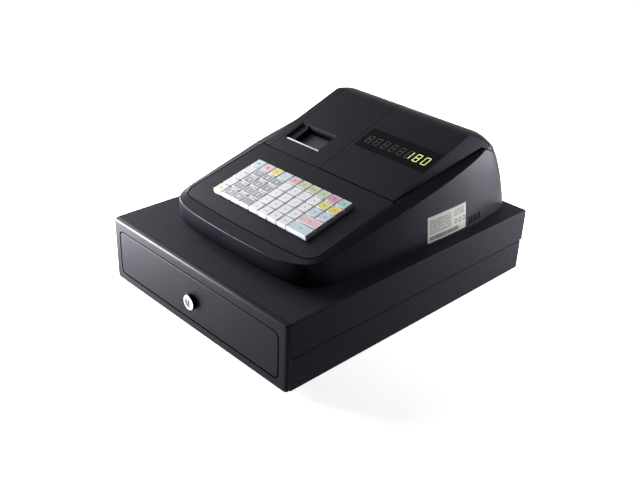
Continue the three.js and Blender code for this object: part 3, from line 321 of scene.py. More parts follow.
@dataclass(frozen=True)
class PolishedMetal(Finish):
    """Plated or polished metal with fine rubbing marks."""

    roughness: float = 0.12
    streak: Vec3 = (1.0, 1.0, 1.0)
    scratch: float = 0.006 * MM

    def build(self) -> None:
        """Builds a metal whose roughness and relief follow fine streaks."""
        g = Graph(self.name, self.colour)
        marks = g.noise(g.mapped(g.place, self.streak), 900.0, detail=4.0, rough=0.65)
        cloud = g.noise(g.place, 60.0)
        g.feed("Base Color", g.shade(g.spread(cloud), 0.86, 1.0))
        g.feed("Metallic", 1.0)
        g.feed("Roughness", g.spread(marks, self.roughness * 0.7, self.roughness * 1.6))
        g.relief(marks, self.scratch)


@dataclass(frozen=True)
class SmokedAcrylic(Finish):
    """Dark glossy window with faint smears."""

    roughness: float = 0.06
    specular: float = 0.045
    smear: float = 0.004 * MM

    def build(self) -> None:
        """Builds a nearly black gloss with smears in its polish."""
        g = Graph(self.name, self.colour)
        smear = g.noise(g.mapped(g.place, (1.0, 0.35, 0.35)), 70.0, detail=5.0, rough=0.6)
        g.feed("Base Color", g.shade(g.spread(smear), 1.0, 1.6))
        g.feed("Roughness", g.spread(smear, self.roughness, self.roughness + 0.05))
        g.feed("Specular IOR Level", self.specular)
        g.relief(smear, self.smear)


@dataclass(frozen=True)
class Glow(Finish):
    """A lit or unlit element of the display."""

    strength: float = 0.0

    def build(self) -> None:
        """Builds a slightly uneven glow over a plain base."""
        g = Graph(self.name, self.colour)
        uneven = g.noise(g.place, 700.0, detail=2.0)
        tone = g.shade(g.spread(uneven), 0.8, 1.0)
        g.feed("Base Color", tone)
        g.feed("Roughness", 0.5)
        g.feed("Specular IOR Level", 0.1)
        if self.strength > 0:
            g.feed("Emission Color", tone)
            g.feed("Emission Strength", self.strength)


@dataclass(frozen=True)
class WoundPaper(Finish):
    """Paper wound on a core, with fine rings on the ends."""

    axis: Vec3 = (0.0, 101.0 * MM, 136.0 * MM)
    fibre: float = 0.02 * MM

    def build(self) -> None:
        """Builds fibres, with rings round the roll's own axis."""
        g = Graph(self.name, self.colour)
        fibre = g.noise(g.mapped(g.place, (1.0, 0.25, 1.0)), 900.0, detail=4.0, rough=0.6)
        centred = g.mapped(g.place, shift=tuple(-c for c in self.axis))
        rings = g.add("ShaderNodeTexWave", {"Scale": 420.0, "Distortion": 1.2, "Vector": centred},
                      wave_type="RINGS", rings_direction="X")
        tone = g.sum(g.spread(fibre, 0.3, 0.9), rings.outputs["Fac"], 0.25)
        g.feed("Base Color", g.shade(tone, 0.88, 1.0))
        g.feed("Roughness", g.spread(fibre, 0.75, 0.92))
        g.relief(g.sum(fibre, rings.outputs["Fac"], 0.5), self.fibre)


@dataclass(frozen=True)
class PrintedPlate(Finish):
    """Silver-white plate with rows of rules, a ruled band and three empty boxes.

    Areas are given in shares of the plate's width and height, bands in shares of one repeat.
    """

    ink: int = 0x0C0C0C
    rows: float = 13.0
    row_band: Span = (0.24, 0.82)
    marks: float = 34.0
    bars: float = 60.0
    columns: float = 9.0
    fibre: float = 0.008 * MM

    def build(self) -> None:
        """Builds the pattern from bands of the UV map, broken up by noise."""
        g = Graph(self.name, self.colour)
        u, v, _ = g.add("ShaderNodeSeparateXYZ", {0: g.uv}).outputs

        def area(across: Span, up: Span) -> Socket:
            """1 inside a rectangle of the UV map, else 0."""
            return g.times(g.band(u, *across), g.band(v, *up))

        def broken(across: float, up: float) -> Socket:
            """Marks of uneven length, as many along each side as asked."""
            return g.spread(g.noise(g.mapped(g.uv, (across, up, 1.0)), 1.0, detail=1.0), 0.0, 1.0, 0.33, 0.41)

        panels = g.sum(area((0.05, 0.60), (0.30, 0.88)), area((0.66, 0.95), (0.60, 0.90)))
        rows = g.band(g.math("FRACT", g.times(v, self.rows)), *self.row_band)
        text = g.times(g.times(rows, broken(self.marks, self.rows)), panels)
        bars = g.times(broken(self.bars, 0.0), area((0.05, 0.80), (0.07, 0.23)))
        column = g.math("FRACT", g.times(u, self.columns))
        boxes = g.times(g.band(column, 0.18, 0.82), area((0.667, 1.0), (0.34, 0.52)))
        holes = g.times(g.band(column, 0.34, 0.66), area((0.667, 1.0), (0.39, 0.47)))
        mask = g.sum(g.sum(text, bars), g.sum(boxes, holes, -1.0))
        fibre = g.noise(g.place, 500.0)
        share = g.sum(g.spread(fibre, 0.0, 0.06), mask, 0.9)
        g.feed("Base Color", g.mixed(share, g.base, linear(self.ink)))
        g.feed("Roughness", g.spread(fibre, 0.32, 0.44))
        g.relief(fibre, self.fibre)


# Finishes

VIOLET = 0xC8C0FF
PALE_VIOLET = 0xE0DDFF
HOUSING = PowderCoat("housing_powder_coat", 0x242329, 0.5, 560.0, 0.16 * MM, 0.04, VIOLET)
TRAY = PowderCoat("tray_paint", 0x2B2B2F, 0.42, 1500.0, 0.03 * MM, 0.15)
FRONT = MouldedPlastic("front_moulding", 0x0B0A10, 0.36, 900.0, 0.08 * MM, 0.16, 0.066, PALE_VIOLET)
CASE = MouldedPlastic("case_moulding", 0x0E0D12, 0.37, 1500.0, 0.04 * MM, 0.16, 0.07, VIOLET)
COVER = MouldedPlastic("printer_cover_moulding", 0x0E0D12, 0.38, 1500.0, 0.04 * MM, 0.16, 0.062, VIOLET)
# Near-black painted shade for faces in the front gap and for the lock's bores, sides and key slot
GAP = MouldedPlastic("gap_shadow", 0x050506, 0.6, specular=0.02)
INSERT = MouldedPlastic("till_insert_moulding", 0x202023, 0.48, 1800.0)
CLIP = MouldedPlastic("note_clip_moulding", 0x2B2B2F, 0.4)
PRINTER = MouldedPlastic("printer_moulding", 0x4C4C51, 0.5)
CHUTE = MouldedPlastic("paper_chute_moulding", 0x2E2E34, 0.45, specular=0.12)
RUBBER = MouldedPlastic("rubber", 0x151517, 0.78, 1400.0, 0.06 * MM)
CHROME = PolishedMetal("lock_chrome", 0xCDCFD2, 0.12)
PLUG = PolishedMetal("lock_plug_metal", 0x8A8C90, 0.25)
ZINC = PolishedMetal("zinc_plate", 0xA8AAAC, 0.3, (1.0, 0.2, 1.0))
TEAR_STEEL = PolishedMetal("tear_bar_steel", 0xBFC1C4, 0.22, (0.1, 1.0, 1.0))
WINDOW = SmokedAcrylic("display_window", 0x030304)
LIT = Glow("segment_lit", 0xD6E88C, 0.95)
UNLIT = Glow("segment_unlit", 0x3A4145)
PAPER = WoundPaper("receipt_paper", 0xF1EFE8)
PLATE = PrintedPlate("rating_plate", 0x9FA09A)
KEY = MouldedPlastic("key_cap", 0xDADADE, 0.26, 1500.0, 0.01 * MM, 0.02)
LEGEND = MouldedPlastic("key_legend", 0x4A4B55, 0.4)
FAINT = MouldedPlastic("key_legend_faint", 0x8E8E98, 0.4)
DIGIT = MouldedPlastic("key_digit", 0xF4F4F4, 0.35)


# Modelling helpers


def deselect() -> None:
    """Selects nothing."""
    bpy.ops.object.select_all(action="DESELECT")


def activate(obj: Piece) -> None:
    """Makes one object the only one selected, and active.

    Args:
        obj: The object.
    """
    deselect()
    obj.select_set(True)
    bpy.context.view_layer.objects.active = obj


def edit(obj: Piece, kind: str, pick: Pick, action: Callable[[], object]) -> None:
    """Runs an edit-mode operator on the faces, edges or vertices that a test picks.

    Args:
        obj: The object to edit.
        kind: FACE, EDGE or VERT.
        pick: Test on a bmesh face, edge or vertex.
        action: Calls the operator.
    """
    activate(obj)
    bpy.ops.object.mode_set(mode="EDIT")
    bpy.ops.mesh.select_mode(type=kind)
    bpy.ops.mesh.select_all(action="DESELECT")
    mesh = bmesh.from_edit_mesh(obj.data)
    for item in {"FACE": mesh.faces, "EDGE": mesh.edges, "VERT": mesh.verts}[kind]:
        item.select = bool(pick(item))
    mesh.select_flush_mode()
    bmesh.update_edit_mesh(obj.data)
    action()
    bpy.ops.object.mode_set(mode="OBJECT")


def bevel(obj: Piece, pick: Pick, width: float, segments: int) -> None:
    """Rounds the edges that a test picks, with as many faces across as asked."""
    edit(obj, "EDGE", pick, lambda: bpy.ops.mesh.bevel(offset=width, segments=segments))


def inset(obj: Piece, pick: Pick, width: float, rise: float = 0.0) -> None:
    """Insets the faces that a test picks, and lifts or sinks what is inside."""
    edit(obj, "FACE", pick, lambda: bpy.ops.mesh.inset(thickness=width, depth=rise))


def smooth(obj: Piece, degrees: float) -> None:
    """Smooths an object's shading across every edge less sharp than an angle."""
    activate(obj)
    bpy.ops.object.shade_smooth_by_angle(angle=math.radians(degrees))


def apply_modifier(obj: Piece, kind: str, **settings: object) -> None:
    """Adds a modifier and applies it.

    Args:
        obj: The object that it shapes.
        kind: The modifier's type.
        settings: Attributes to set on it.
    """
    activate(obj)
    modifier = obj.modifiers.new(kind.lower(), kind)
    put(modifier, **settings)
    bpy.ops.object.modifier_apply(modifier=modifier.name)


def linked(name: str, data: bpy.types.ID) -> Piece:
    """A new object of the scene.

    Args:
        name: Its name.
        data: Its mesh, camera or light.

    Returns:
        The object.
    """
    obj = bpy.data.objects.new(name, data)
    bpy.context.scene.collection.objects.link(obj)
    return obj


def added(operator: Callable[..., object], name: str, **settings: object) -> Piece:
    """A new object from one of Blender's own operators.

    Args:
        operator: The operator that adds it.
        name: Its name.
        settings: The operator's own settings.

    Returns:
        The object.
    """
    deselect()
    operator(**settings)
    bpy.context.object.name = name
    return bpy.context.object


def bar(name: str, size: Vec3, centre: Vec3 = (0, 0, 0)) -> Piece:
    """A cube brought to its size and place, as the start of a piece.

    Args:
        name: The object's name.
        size: Full size along X, Y and Z.
        centre: The place of its middle.

    Returns:
        The object, with its place in its mesh.
    """
    obj = added(bpy.ops.mesh.primitive_cube_add, name, size=1)
    obj.data.transform(Matrix.Translation(centre) @ Matrix.Diagonal((*size, 1.0)))
    return obj


def disc(name: str, radius: float, depth: float, sides: int = 40) -> Piece:
    """A short round bar along Z, with so many faces round it, as the start of a piece."""
    return added(bpy.ops.mesh.primitive_cylinder_add, name, vertices=sides, radius=radius, depth=depth)


def soften(obj: Piece, width: float, segments: int = 2, angle: float = 30.0) -> None:
    """Rounds an object's sharp edges and smooths its shading.

    Args:
        obj: The object.
        width: The rounding's width.
        segments: Faces across the rounding.
        angle: Sharpest angle, in degrees, that stays as it is.
    """
    apply_modifier(obj, "BEVEL", width=width, segments=segments, limit_method="ANGLE",
                   angle_limit=math.radians(angle))
    smooth(obj, angle)
    apply_modifier(obj, "WEIGHTED_NORMAL", keep_sharp=True, weight=80)


def paint(obj: Piece, *finishes: Finish) -> None:
    """Gives an object its finishes.

    Args:
        obj: The object.
        finishes: One finish for each material slot.
    """
    obj.data.materials.clear()
    for finish in finishes:
        obj.data.materials.append(finish.material())


def joined(name: str, parts: list[Piece]) -> Piece:
    """Joins objects into the first.

    Args:
        name: Name of the result.
        parts: The objects.

    Returns:
        The joined object.
    """
    activate(parts[0])
    for part in parts[1:]:
        part.select_set(True)
    bpy.ops.object.join()
    parts[0].name = name
    return parts[0]


def duplicate(obj: Piece, name: str, matrix: Matrix) -> Piece:
    """Copies an object with its own mesh, moved by a matrix in the mesh.

    Args:
        obj: The object to copy.
        name: The copy's name.
        matrix: Where the copy goes.

    Returns:
        The copy.
    """
    copy = linked(name, obj.data.copy())
    copy.data.transform(matrix)
    return copy


def discard(obj: Piece) -> None:
    """Removes a pattern object once its copies are made."""
    bpy.data.objects.remove(obj, do_unlink=True)


def mount(obj: Piece, body: str, slot: str, *nodes: str) -> None:
    """Puts a finished piece on its body.

    Args:
        obj: The piece.
        body: The body that it rides on.
        slot: The record's material slot of its finish; not used.
        nodes: CAD nodes that it stands for.
    """
    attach(obj, body)
    if nodes:
        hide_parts(*nodes)
    log.info("%s rides on %s, %d faces", obj.name, body, len(obj.data.polygons))


def is_lip(edge: object) -> bool:
    """True for an outward edge between the register's rim and its wall.

    Args:
        edge: A bmesh edge of the lower case or the deck.

    Returns:
        Whether it is part of the lip.
    """
    if len(edge.link_faces) != 2 or not edge.is_convex or min(v.co.z for v in edge.verts) < LIP_LEVEL:
        return False
    low, high = sorted(face.normal.z for face in edge.link_faces)
    return high > UPWARD and abs(low) < SIDEWAYS


def in_front_gap(face: object) -> bool:
    """True for a face that looks across the gap round the drawer's front panel; such faces get painted shade.
    """
    low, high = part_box("drawer_front")
    return abs(face.normal.y) < ACROSS_GAP and all(
        low[axis] - GAP_REACH < face.center[axis] < high[axis] + GAP_REACH for axis in (0, 2))


def gets_lock_shade(face: object) -> bool:
    """True for a face of the lock's bores, its sides or its key slot's floor, which gets painted shade in place
    of its metal.
    """
    return abs(face.normal.y) < SIDEWAYS or abs(face.center.y - KEY_SLOT_FLOOR) < MM


def refined(node: str, body: str, slot: str, finish: Finish, width: float, angle: float = 30.0,
            segments: int = 2, lip: Pick | None = None, shaded: Pick | None = None) -> None:
    """Mounts a merged copy of a CAD node with its edges rounded, which stands for the node.

    Args:
        node: The CAD node.
        body: The body that it rides on.
        slot: The record's material slot.
        finish: Its finish.
        width: Width of the edge rounding.
        angle: Sharpest angle, in degrees, that stays smooth.
        segments: Faces across the rounding.
        lip: Test for edges that get a wide rounding of their own.
        shaded: Test for faces that get painted shade, the near-black gap_shadow finish in place of their own.
    """
    copy = linked(f"{node}_shell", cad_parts[node].data.copy())
    activate(copy)
    bpy.ops.mesh.customdata_custom_splitnormals_clear()
    edit(copy, "VERT", lambda v: True, lambda: bpy.ops.mesh.remove_doubles(threshold=MERGE_WITHIN))
    edit(copy, "FACE", lambda f: True,
         lambda: bpy.ops.mesh.dissolve_limited(angle_limit=math.radians(FLAT_DEGREES)))
    if lip:
        bevel(copy, lip, LIP_WIDTH, 4)
    # Faces that the shaded test picks get the painted shade finish
    paint(copy, finish, *([GAP] if shaded else []))
    for face in copy.data.polygons:
        face.material_index = int(bool(shaded and shaded(face)))
    soften(copy, width, segments, angle)
    mount(copy, body, slot, node)


def cross_screw(radius: float) -> Piece:
    """A pan-head screw with a cross recess, its head's underside on the XY plane.

    Args:
        radius: The head's radius.

    Returns:
        The pattern object, to be copied.
    """
    head = disc("screw_pattern", radius, radius * 0.7, 28)
    head.data.transform(Matrix.Translation((0, 0, radius * 0.35)))
    bevel(head, lambda e: all(v.co.z > radius * 0.6 for v in e.verts), radius * 0.32, 4)
    length, width = radius * 1.1, radius * 0.26
    cross = joined("cross", [bar("arm", (length, width, radius)), bar("arm", (width, length, radius))])
    cross.data.transform(Matrix.Translation((0, 0, radius * 0.85)))
    apply_modifier(head, "BOOLEAN", object=cross, operation="DIFFERENCE", solver="EXACT", use_self=True)
    discard(cross)
    smooth(head, 35)
    return head


# Sub-assemblies


@dataclass
class SteelHousing:
    """The drawer's housing: sheet cover, base, front frame, feet and the screws underneath."""

    cover_edge: float = 0.4 * MM
    base_edge: float = 0.3 * MM
    frame_edge: float = 0.5 * MM
    screw_radius: float = 3.2 * MM
    screw_x: tuple[float, ...] = (-0.1, 0.1)
    screw_y: tuple[float, ...] = (-0.11, 0.03, 0.17)
    foot_ring: float = 1.6 * MM
    foot_groove: float = 0.6 * MM
    foot_groove_depth: float = 0.8 * MM
    foot_edge: float = 0.5 * MM

    def build(self) -> None:
        """Builds and dresses the housing."""
        refined("housing_cover", "housing", "housing_steel", HOUSING, self.cover_edge, 25)
        refined("housing_base", "housing", "housing_steel", HOUSING, self.base_edge)
        # Faces in the gap round the drawer front get painted shade
        refined("front_frame", "housing", "front_plastic", FRONT, self.frame_edge, 25, shaded=in_front_gap)
        for index in range(1, 5):
            self._foot(f"foot_{index}")
        self._screws()

    def _foot(self, node: str) -> None:
        """Builds a rubber foot with a ring moulded into its underside.

        Args:
            node: The foot's CAD node.
        """
        low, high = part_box(node)
        radius = (high.x - low.x) / 2
        foot = disc(f"{node}_pad", radius, high.z - low.z)

        def is_rim(edge: object) -> bool:
            """True for an edge round one of the foot's ends."""
            first, last = (vertex.co for vertex in edge.verts)
            return min(first.xy.length, last.xy.length) > radius - 10 * CLOSE and abs(first.z - last.z) < CLOSE

        inset(foot, lambda f: f.normal.z < -FACING, self.foot_ring)
        inset(foot, lambda f: f.normal.z < -FACING and len(f.verts) > 8,
              self.foot_groove, -self.foot_groove_depth)
        bevel(foot, is_rim, self.foot_edge, 2)
        foot.data.transform(Matrix.Translation((low + high) / 2))
        paint(foot, RUBBER)
        smooth(foot, 35)
        mount(foot, "housing", "rubber", node)

    def _screws(self) -> None:
        """Builds the screws under the base that hold the drawer's runner rails."""
        pattern = cross_screw(self.screw_radius)
        turn = Matrix.Rotation(math.radians(180), 4, "X")
        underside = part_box("housing_base")[0].z
        parts = [duplicate(pattern, "screw", Matrix.Translation((x, y, underside)) @ turn)
                 for x in self.screw_x for y in self.screw_y]
        discard(pattern)
        screws = joined("housing_screws", parts)
        paint(screws, ZINC)
        mount(screws, "housing", "latch_steel")


@dataclass
class CashDrawer:
    """The sliding drawer with its front, tray, insert, note clips, lock and latch."""

    front_edge: float = 0.4 * MM
    tray_edge: float = 0.3 * MM
    insert_edge: float = 0.7 * MM
    clip_edge: float = 0.4 * MM
    barrel_edge: float = 0.3 * MM
    plug_edge: float = 0.1 * MM
    lever_edge: float = 0.4 * MM

    def build(self) -> None:
        """Builds and dresses the drawer."""
        # Faces in the gap round the drawer front get painted shade
        refined("drawer_front", "drawer", "front_plastic", FRONT, self.front_edge, 25, shaded=in_front_gap)
        refined("drawer_tray", "drawer", "tray_steel", TRAY, self.tray_edge)
        refined("till_insert", "drawer", "insert_plastic", INSERT, self.insert_edge)
        for index, side in enumerate(("left", "middle", "right"), 1):
            refined(f"note_clip_{index}", f"clip_{side}", "clip_plastic", CLIP, self.clip_edge)
        # The lock's bores, sides and key slot floor get painted shade in place of their metal
        refined("lock_barrel", "drawer", "lock_chrome", CHROME, self.barrel_edge, 20, 3, shaded=gets_lock_shade)
        refined("lock_plug", "lock", "lock_chrome", PLUG, self.plug_edge, shaded=gets_lock_shade)
        refined("latch_lever", "latch", "latch_steel", ZINC, self.lever_edge)


@dataclass
class RatingPlate:
    """Blank plate on the register's right wall."""

    y: Span = (35.0 * MM, 107.5 * MM)
    z: Span = (92.8 * MM, 125.8 * MM)
    thickness: float = 0.25 * MM
    clear_x: float = 170.0 * MM

    def build(self) -> None:
        """Lays a thin plate on the curved wall, from a grid that starts clear of it."""
        plate = added(bpy.ops.mesh.primitive_grid_add, "rating_plate", size=1,
                      x_subdivisions=16, y_subdivisions=8)
        (low_y, high_y), (low_z, high_z) = self.y, self.z
        plate.data.transform(Matrix(((0, 0, 1, self.clear_x), (high_y - low_y, 0, 0, (low_y + high_y) / 2),
                                     (0, high_z - low_z, 0, (low_z + high_z) / 2), (0, 0, 0, 1))))
        apply_modifier(plate, "SHRINKWRAP", target=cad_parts["lower_case"], wrap_method="PROJECT",
                       use_project_x=True, use_negative_direction=True, use_positive_direction=False)
        apply_modifier(plate, "SOLIDIFY", thickness=self.thickness, offset=1.0)
        paint(plate, PLATE)
        smooth(plate, 30)
        mount(plate, "housing", "key_white")


@dataclass
class RegisterCase:
    """The register's outer shells, windows, gland, key bed and rating plate."""

    lower_edge: float = 0.6 * MM
    upper_edge: float = 0.5 * MM
    deck_edge: float = 0.3 * MM
    window_edge: float = 0.3 * MM
    customer_window_edge: float = 0.4 * MM
    gland_edge: float = 0.4 * MM
    bed_edge: float = 0.2 * MM

    def build(self) -> None:
        """Builds and dresses the case."""
        refined("lower_case", "housing", "case_plastic", CASE, self.lower_edge, 24, 3, lip=is_lip)
        refined("upper_case", "housing", "case_plastic", CASE, self.upper_edge, 24, 3)
        refined("keyboard_deck", "housing", "case_plastic", CASE, self.deck_edge, 24, 2, lip=is_lip)
        refined("printer_cover", "cover", "case_plastic", COVER, self.upper_edge, 24, 3)
        refined("display_window", "housing", "smoked_window", WINDOW, self.window_edge)
        refined("customer_window", "housing", "smoked_window", WINDOW, self.customer_window_edge)
        refined("cord_gland", "housing", "rubber", RUBBER, self.gland_edge)
        refined("key_bed", "housing", "printer_grey", PRINTER, self.bed_edge)
        RatingPlate().build()


class Segment(Enum):
    """The bars of a digit by their usual letters: middle in shares of half width and height, and upright."""

    A = (0.0, 1.0, False)
    B = (1.0, 0.5, True)
    C = (1.0, -0.5, True)
    D = (0.0, -1.0, False)
    E = (-1.0, -0.5, True)
    F = (-1.0, 0.5, True)
    G = (0.0, 0.0, False)


LIT_BARS = {"0": "ABCDEF", "1": "BC", "8": "ABCDEFG", " ": ""}


@dataclass
class SegmentDisplay:
    """Seven-segment digits on the display window."""

    text: str = "     180"
    x: float = 54.3 * MM
    along: float = 76.9 * MM
    lift: float = 0.06 * MM
    pitch: float = 13.25 * MM
    digit_width: float = 7.7 * MM
    digit_height: float = 14.7 * MM
    stroke: float = 1.15 * MM
    thickness: float = 0.12 * MM
    slant_degrees: float = 3.0

    def build(self) -> None:
        """Builds the lit and the unlit bars as two pieces."""
        groups: dict[str, list[Piece]] = {"lit": [], "unlit": []}
        place = UPPER_PLANE.matrix(self.x, self.along, self.lift)
        shear = Matrix.Identity(4)
        shear[0][1] = math.tan(math.radians(self.slant_degrees))
        for index, symbol in enumerate(self.text):
            middle = (index - (len(self.text) - 1) / 2) * self.pitch
            for segment in Segment:
                piece = self._bar(segment)
                piece.data.transform(place @ Matrix.Translation((middle, 0, 0)) @ shear)
                groups["lit" if segment.name in LIT_BARS[symbol] else "unlit"].append(piece)
        for kind, finish, slot in (("lit", LIT, "key_white"), ("unlit", UNLIT, "smoked_window")):
            piece = joined(f"display_digits_{kind}", groups[kind])
            paint(piece, finish)
            mount(piece, "housing", slot)

    def _bar(self, segment: Segment) -> Piece:
        """A six-sided bar with pointed ends.

        Args:
            segment: Which bar of the digit.

        Returns:
            The bar in its place in an upright digit.
        """
        across, up, upright = segment.value
        length = (self.digit_height - self.stroke) / 2 if upright else self.digit_width - self.stroke
        piece = disc("bar", self.stroke / 2, self.thickness, 6)
        piece.data.transform(Matrix.Rotation(math.radians(30), 4, "Z"))
        half = (length - self.stroke * 1.1) / 2
        for vertex in piece.data.vertices:
            if abs(vertex.co.x) > self.stroke * 0.1:
                vertex.co.x += math.copysign(half, vertex.co.x)
        x = across * (self.digit_width - self.stroke) / 2
        y = up * (self.digit_height - self.stroke) / 2
        turn = Matrix.Rotation(math.radians(90), 4, "Z") if upright else Matrix.Identity(4)
        piece.data.transform(Matrix.Translation((x, y, 0)) @ turn)
        return piece


@dataclass
class ReceiptPrinter:
    """The printer: frame, roll and platen, with the tear bar and the chute on the cover.

    The guides are given in shares of the chute, a tooth's tip in shares of its foot.
    """

    frame_edge: float = 0.4 * MM
    roll_edge: float = 0.3 * MM
    platen_edge: float = 0.3 * MM
    tear_x: Span = (-95.0 * MM, -35.6 * MM)
    tear_along: float = 25.6 * MM
    tear_thickness: float = 0.5 * MM
    tear_lift: float = 0.1 * MM
    tooth: float = 1.2 * MM
    tooth_tip: float = 0.08
    chute_x: Span = (-85.5 * MM, -41.5 * MM)
    chute_along: Span = (31.0 * MM, 56.2 * MM)
    chute_thickness: float = 0.6 * MM
    chute_edge: float = 0.2 * MM
    guide_width: float = 0.9 * MM
    guide_length: float = 0.8
    guide_offset: float = 0.36
    recess_depth: float = 11.0 * MM

    def build(self) -> None:
        """Builds and dresses the printer."""
        refined("printer_frame", "housing", "printer_grey", PRINTER, self.frame_edge)
        refined("paper_roll", "roll", "paper", PAPER, self.roll_edge)
        refined("platen_roller", "platen", "rubber", RUBBER, self.platen_edge)
        self._tear_bar()
        self._chute()

    def _chute(self) -> None:
        """Builds the lighter floor of the paper recess, with two shallow paper guides."""
        width = self.chute_x[1] - self.chute_x[0]
        length = self.chute_along[1] - self.chute_along[0]
        thickness = self.chute_thickness
        plate = bar("chute", (width, length, thickness))
        guides = [bar("guide", (self.guide_width, length * self.guide_length, thickness),
                      (side * width * self.guide_offset, 0, thickness)) for side in (-1, 1)]
        chute = joined("paper_chute", [plate, *guides])
        soften(chute, self.chute_edge)
        chute.data.transform(UPPER_PLANE.matrix(sum(self.chute_x) / 2, sum(self.chute_along) / 2,
                                                -self.recess_depth + thickness / 2))
        paint(chute, CHUTE)
        mount(chute, "cover", "printer_grey")

    def _tear_bar(self) -> None:
        """Builds a steel strip with a row of teeth at the front edge of the paper recess."""
        length = self.tear_x[1] - self.tear_x[0]
        strip = bar("tear_strip", (length, self.tooth * 1.1, self.tear_thickness))
        tooth = bar("tooth", (self.tooth, self.tooth, self.tear_thickness))
        edit(tooth, "FACE", lambda f: f.normal.y > 0.9,
             lambda: bpy.ops.transform.resize(value=(self.tooth_tip, 1.0, 1.0)))
        count = int(length / self.tooth)
        tooth.data.transform(Matrix.Translation((-length / 2 + self.tooth / 2, self.tooth * 1.02, 0)))
        apply_modifier(tooth, "ARRAY", count=count, use_relative_offset=False, use_constant_offset=True,
                       constant_offset_displace=(self.tooth, 0, 0))
        tear = joined("tear_bar", [strip, tooth])
        middle = sum(self.tear_x) / 2
        tear.data.transform(UPPER_PLANE.matrix(middle, self.tear_along - self.tooth, self.tear_lift))
        paint(tear, TEAR_STEEL)
        mount(tear, "cover", "latch_steel")


class Tint(Enum):
    """Colours of the key inserts."""

    GREY = 0x8A8A90
    LAVENDER = 0xD2CFDE
    CYAN = 0xB9D2D8
    TEAL = 0x9CC3B6
    PINK = 0xD8B7BF
    MAGENTA = 0xCC88A4
    ROSE = 0xD3A6B0
    YELLOW = 0xD6CF6E
    AMBER = 0xD9C562
    BLUE = 0xB8CDDB
    GREEN = 0xB3C290
    SAGE = 0xBAC4A0
    LIME = 0xC8D4BF
    WHITE = 0xE0E0E3

    def finish(self) -> MouldedPlastic:
        """The finish of an insert of this colour."""
        return MouldedPlastic(f"key_insert_{self.name.lower()}", self.value, 0.28, 1200.0, 0.006 * MM, 0.03)


@dataclass(frozen=True)
class KeySpec:
    """One key: its place, width in columns, tint and legend."""

    row: int
    column: int
    tint: Tint
    legend: str
    span: int = 1

    @property
    def is_department(self) -> bool:
        """True for the white keys on the common plate."""
        return self.row > 0 and 4 <= self.column <= 7

    @property
    def node(self) -> str:
        """The key's CAD node."""
        return f"key_{self.row + 1}_{self.column + 1}"

    @property
    def slot(self) -> str:
        """The record's slot for the key's tint."""
        return "key_green" if self.tint is Tint.LIME else f"key_{self.tint.name.lower()}"


def key_layout() -> list[KeySpec]:
    """Every key from the back row to the front one.

    Returns:
        The list of keys.
    """
    back = [Tint.CYAN, Tint.PINK, Tint.YELLOW, Tint.BLUE, Tint.ROSE, Tint.SAGE, Tint.GREEN, Tint.SAGE,
            Tint.MAGENTA, Tint.TEAL]
    keys = [KeySpec(0, column, tint, sign) for column, (tint, sign) in enumerate(zip(back, "#%+-x/<>*="))]
    digits = ["789", "456", "123", ("0", "00", ".")]
    right = [(Tint.YELLOW, Tint.AMBER), (Tint.BLUE, Tint.BLUE), (Tint.PINK,), (Tint.CYAN,)]
    for index in range(4):
        row = index + 1
        span = 3 - len(right[index])
        keys.append(KeySpec(row, 0, Tint.LIME if row == 4 else Tint.LAVENDER, "-" if row < 4 else "x"))
        keys += [KeySpec(row, 1 + i, Tint.GREY, text) for i, text in enumerate(digits[index])]
        keys += [KeySpec(row, 4 + i, Tint.WHITE, str(4 * index + i + 1)) for i in range(4)]
        keys += [KeySpec(row, 8 + i, tint, "+="[span - 1], span) for i, tint in enumerate(right[index])]
    return keys


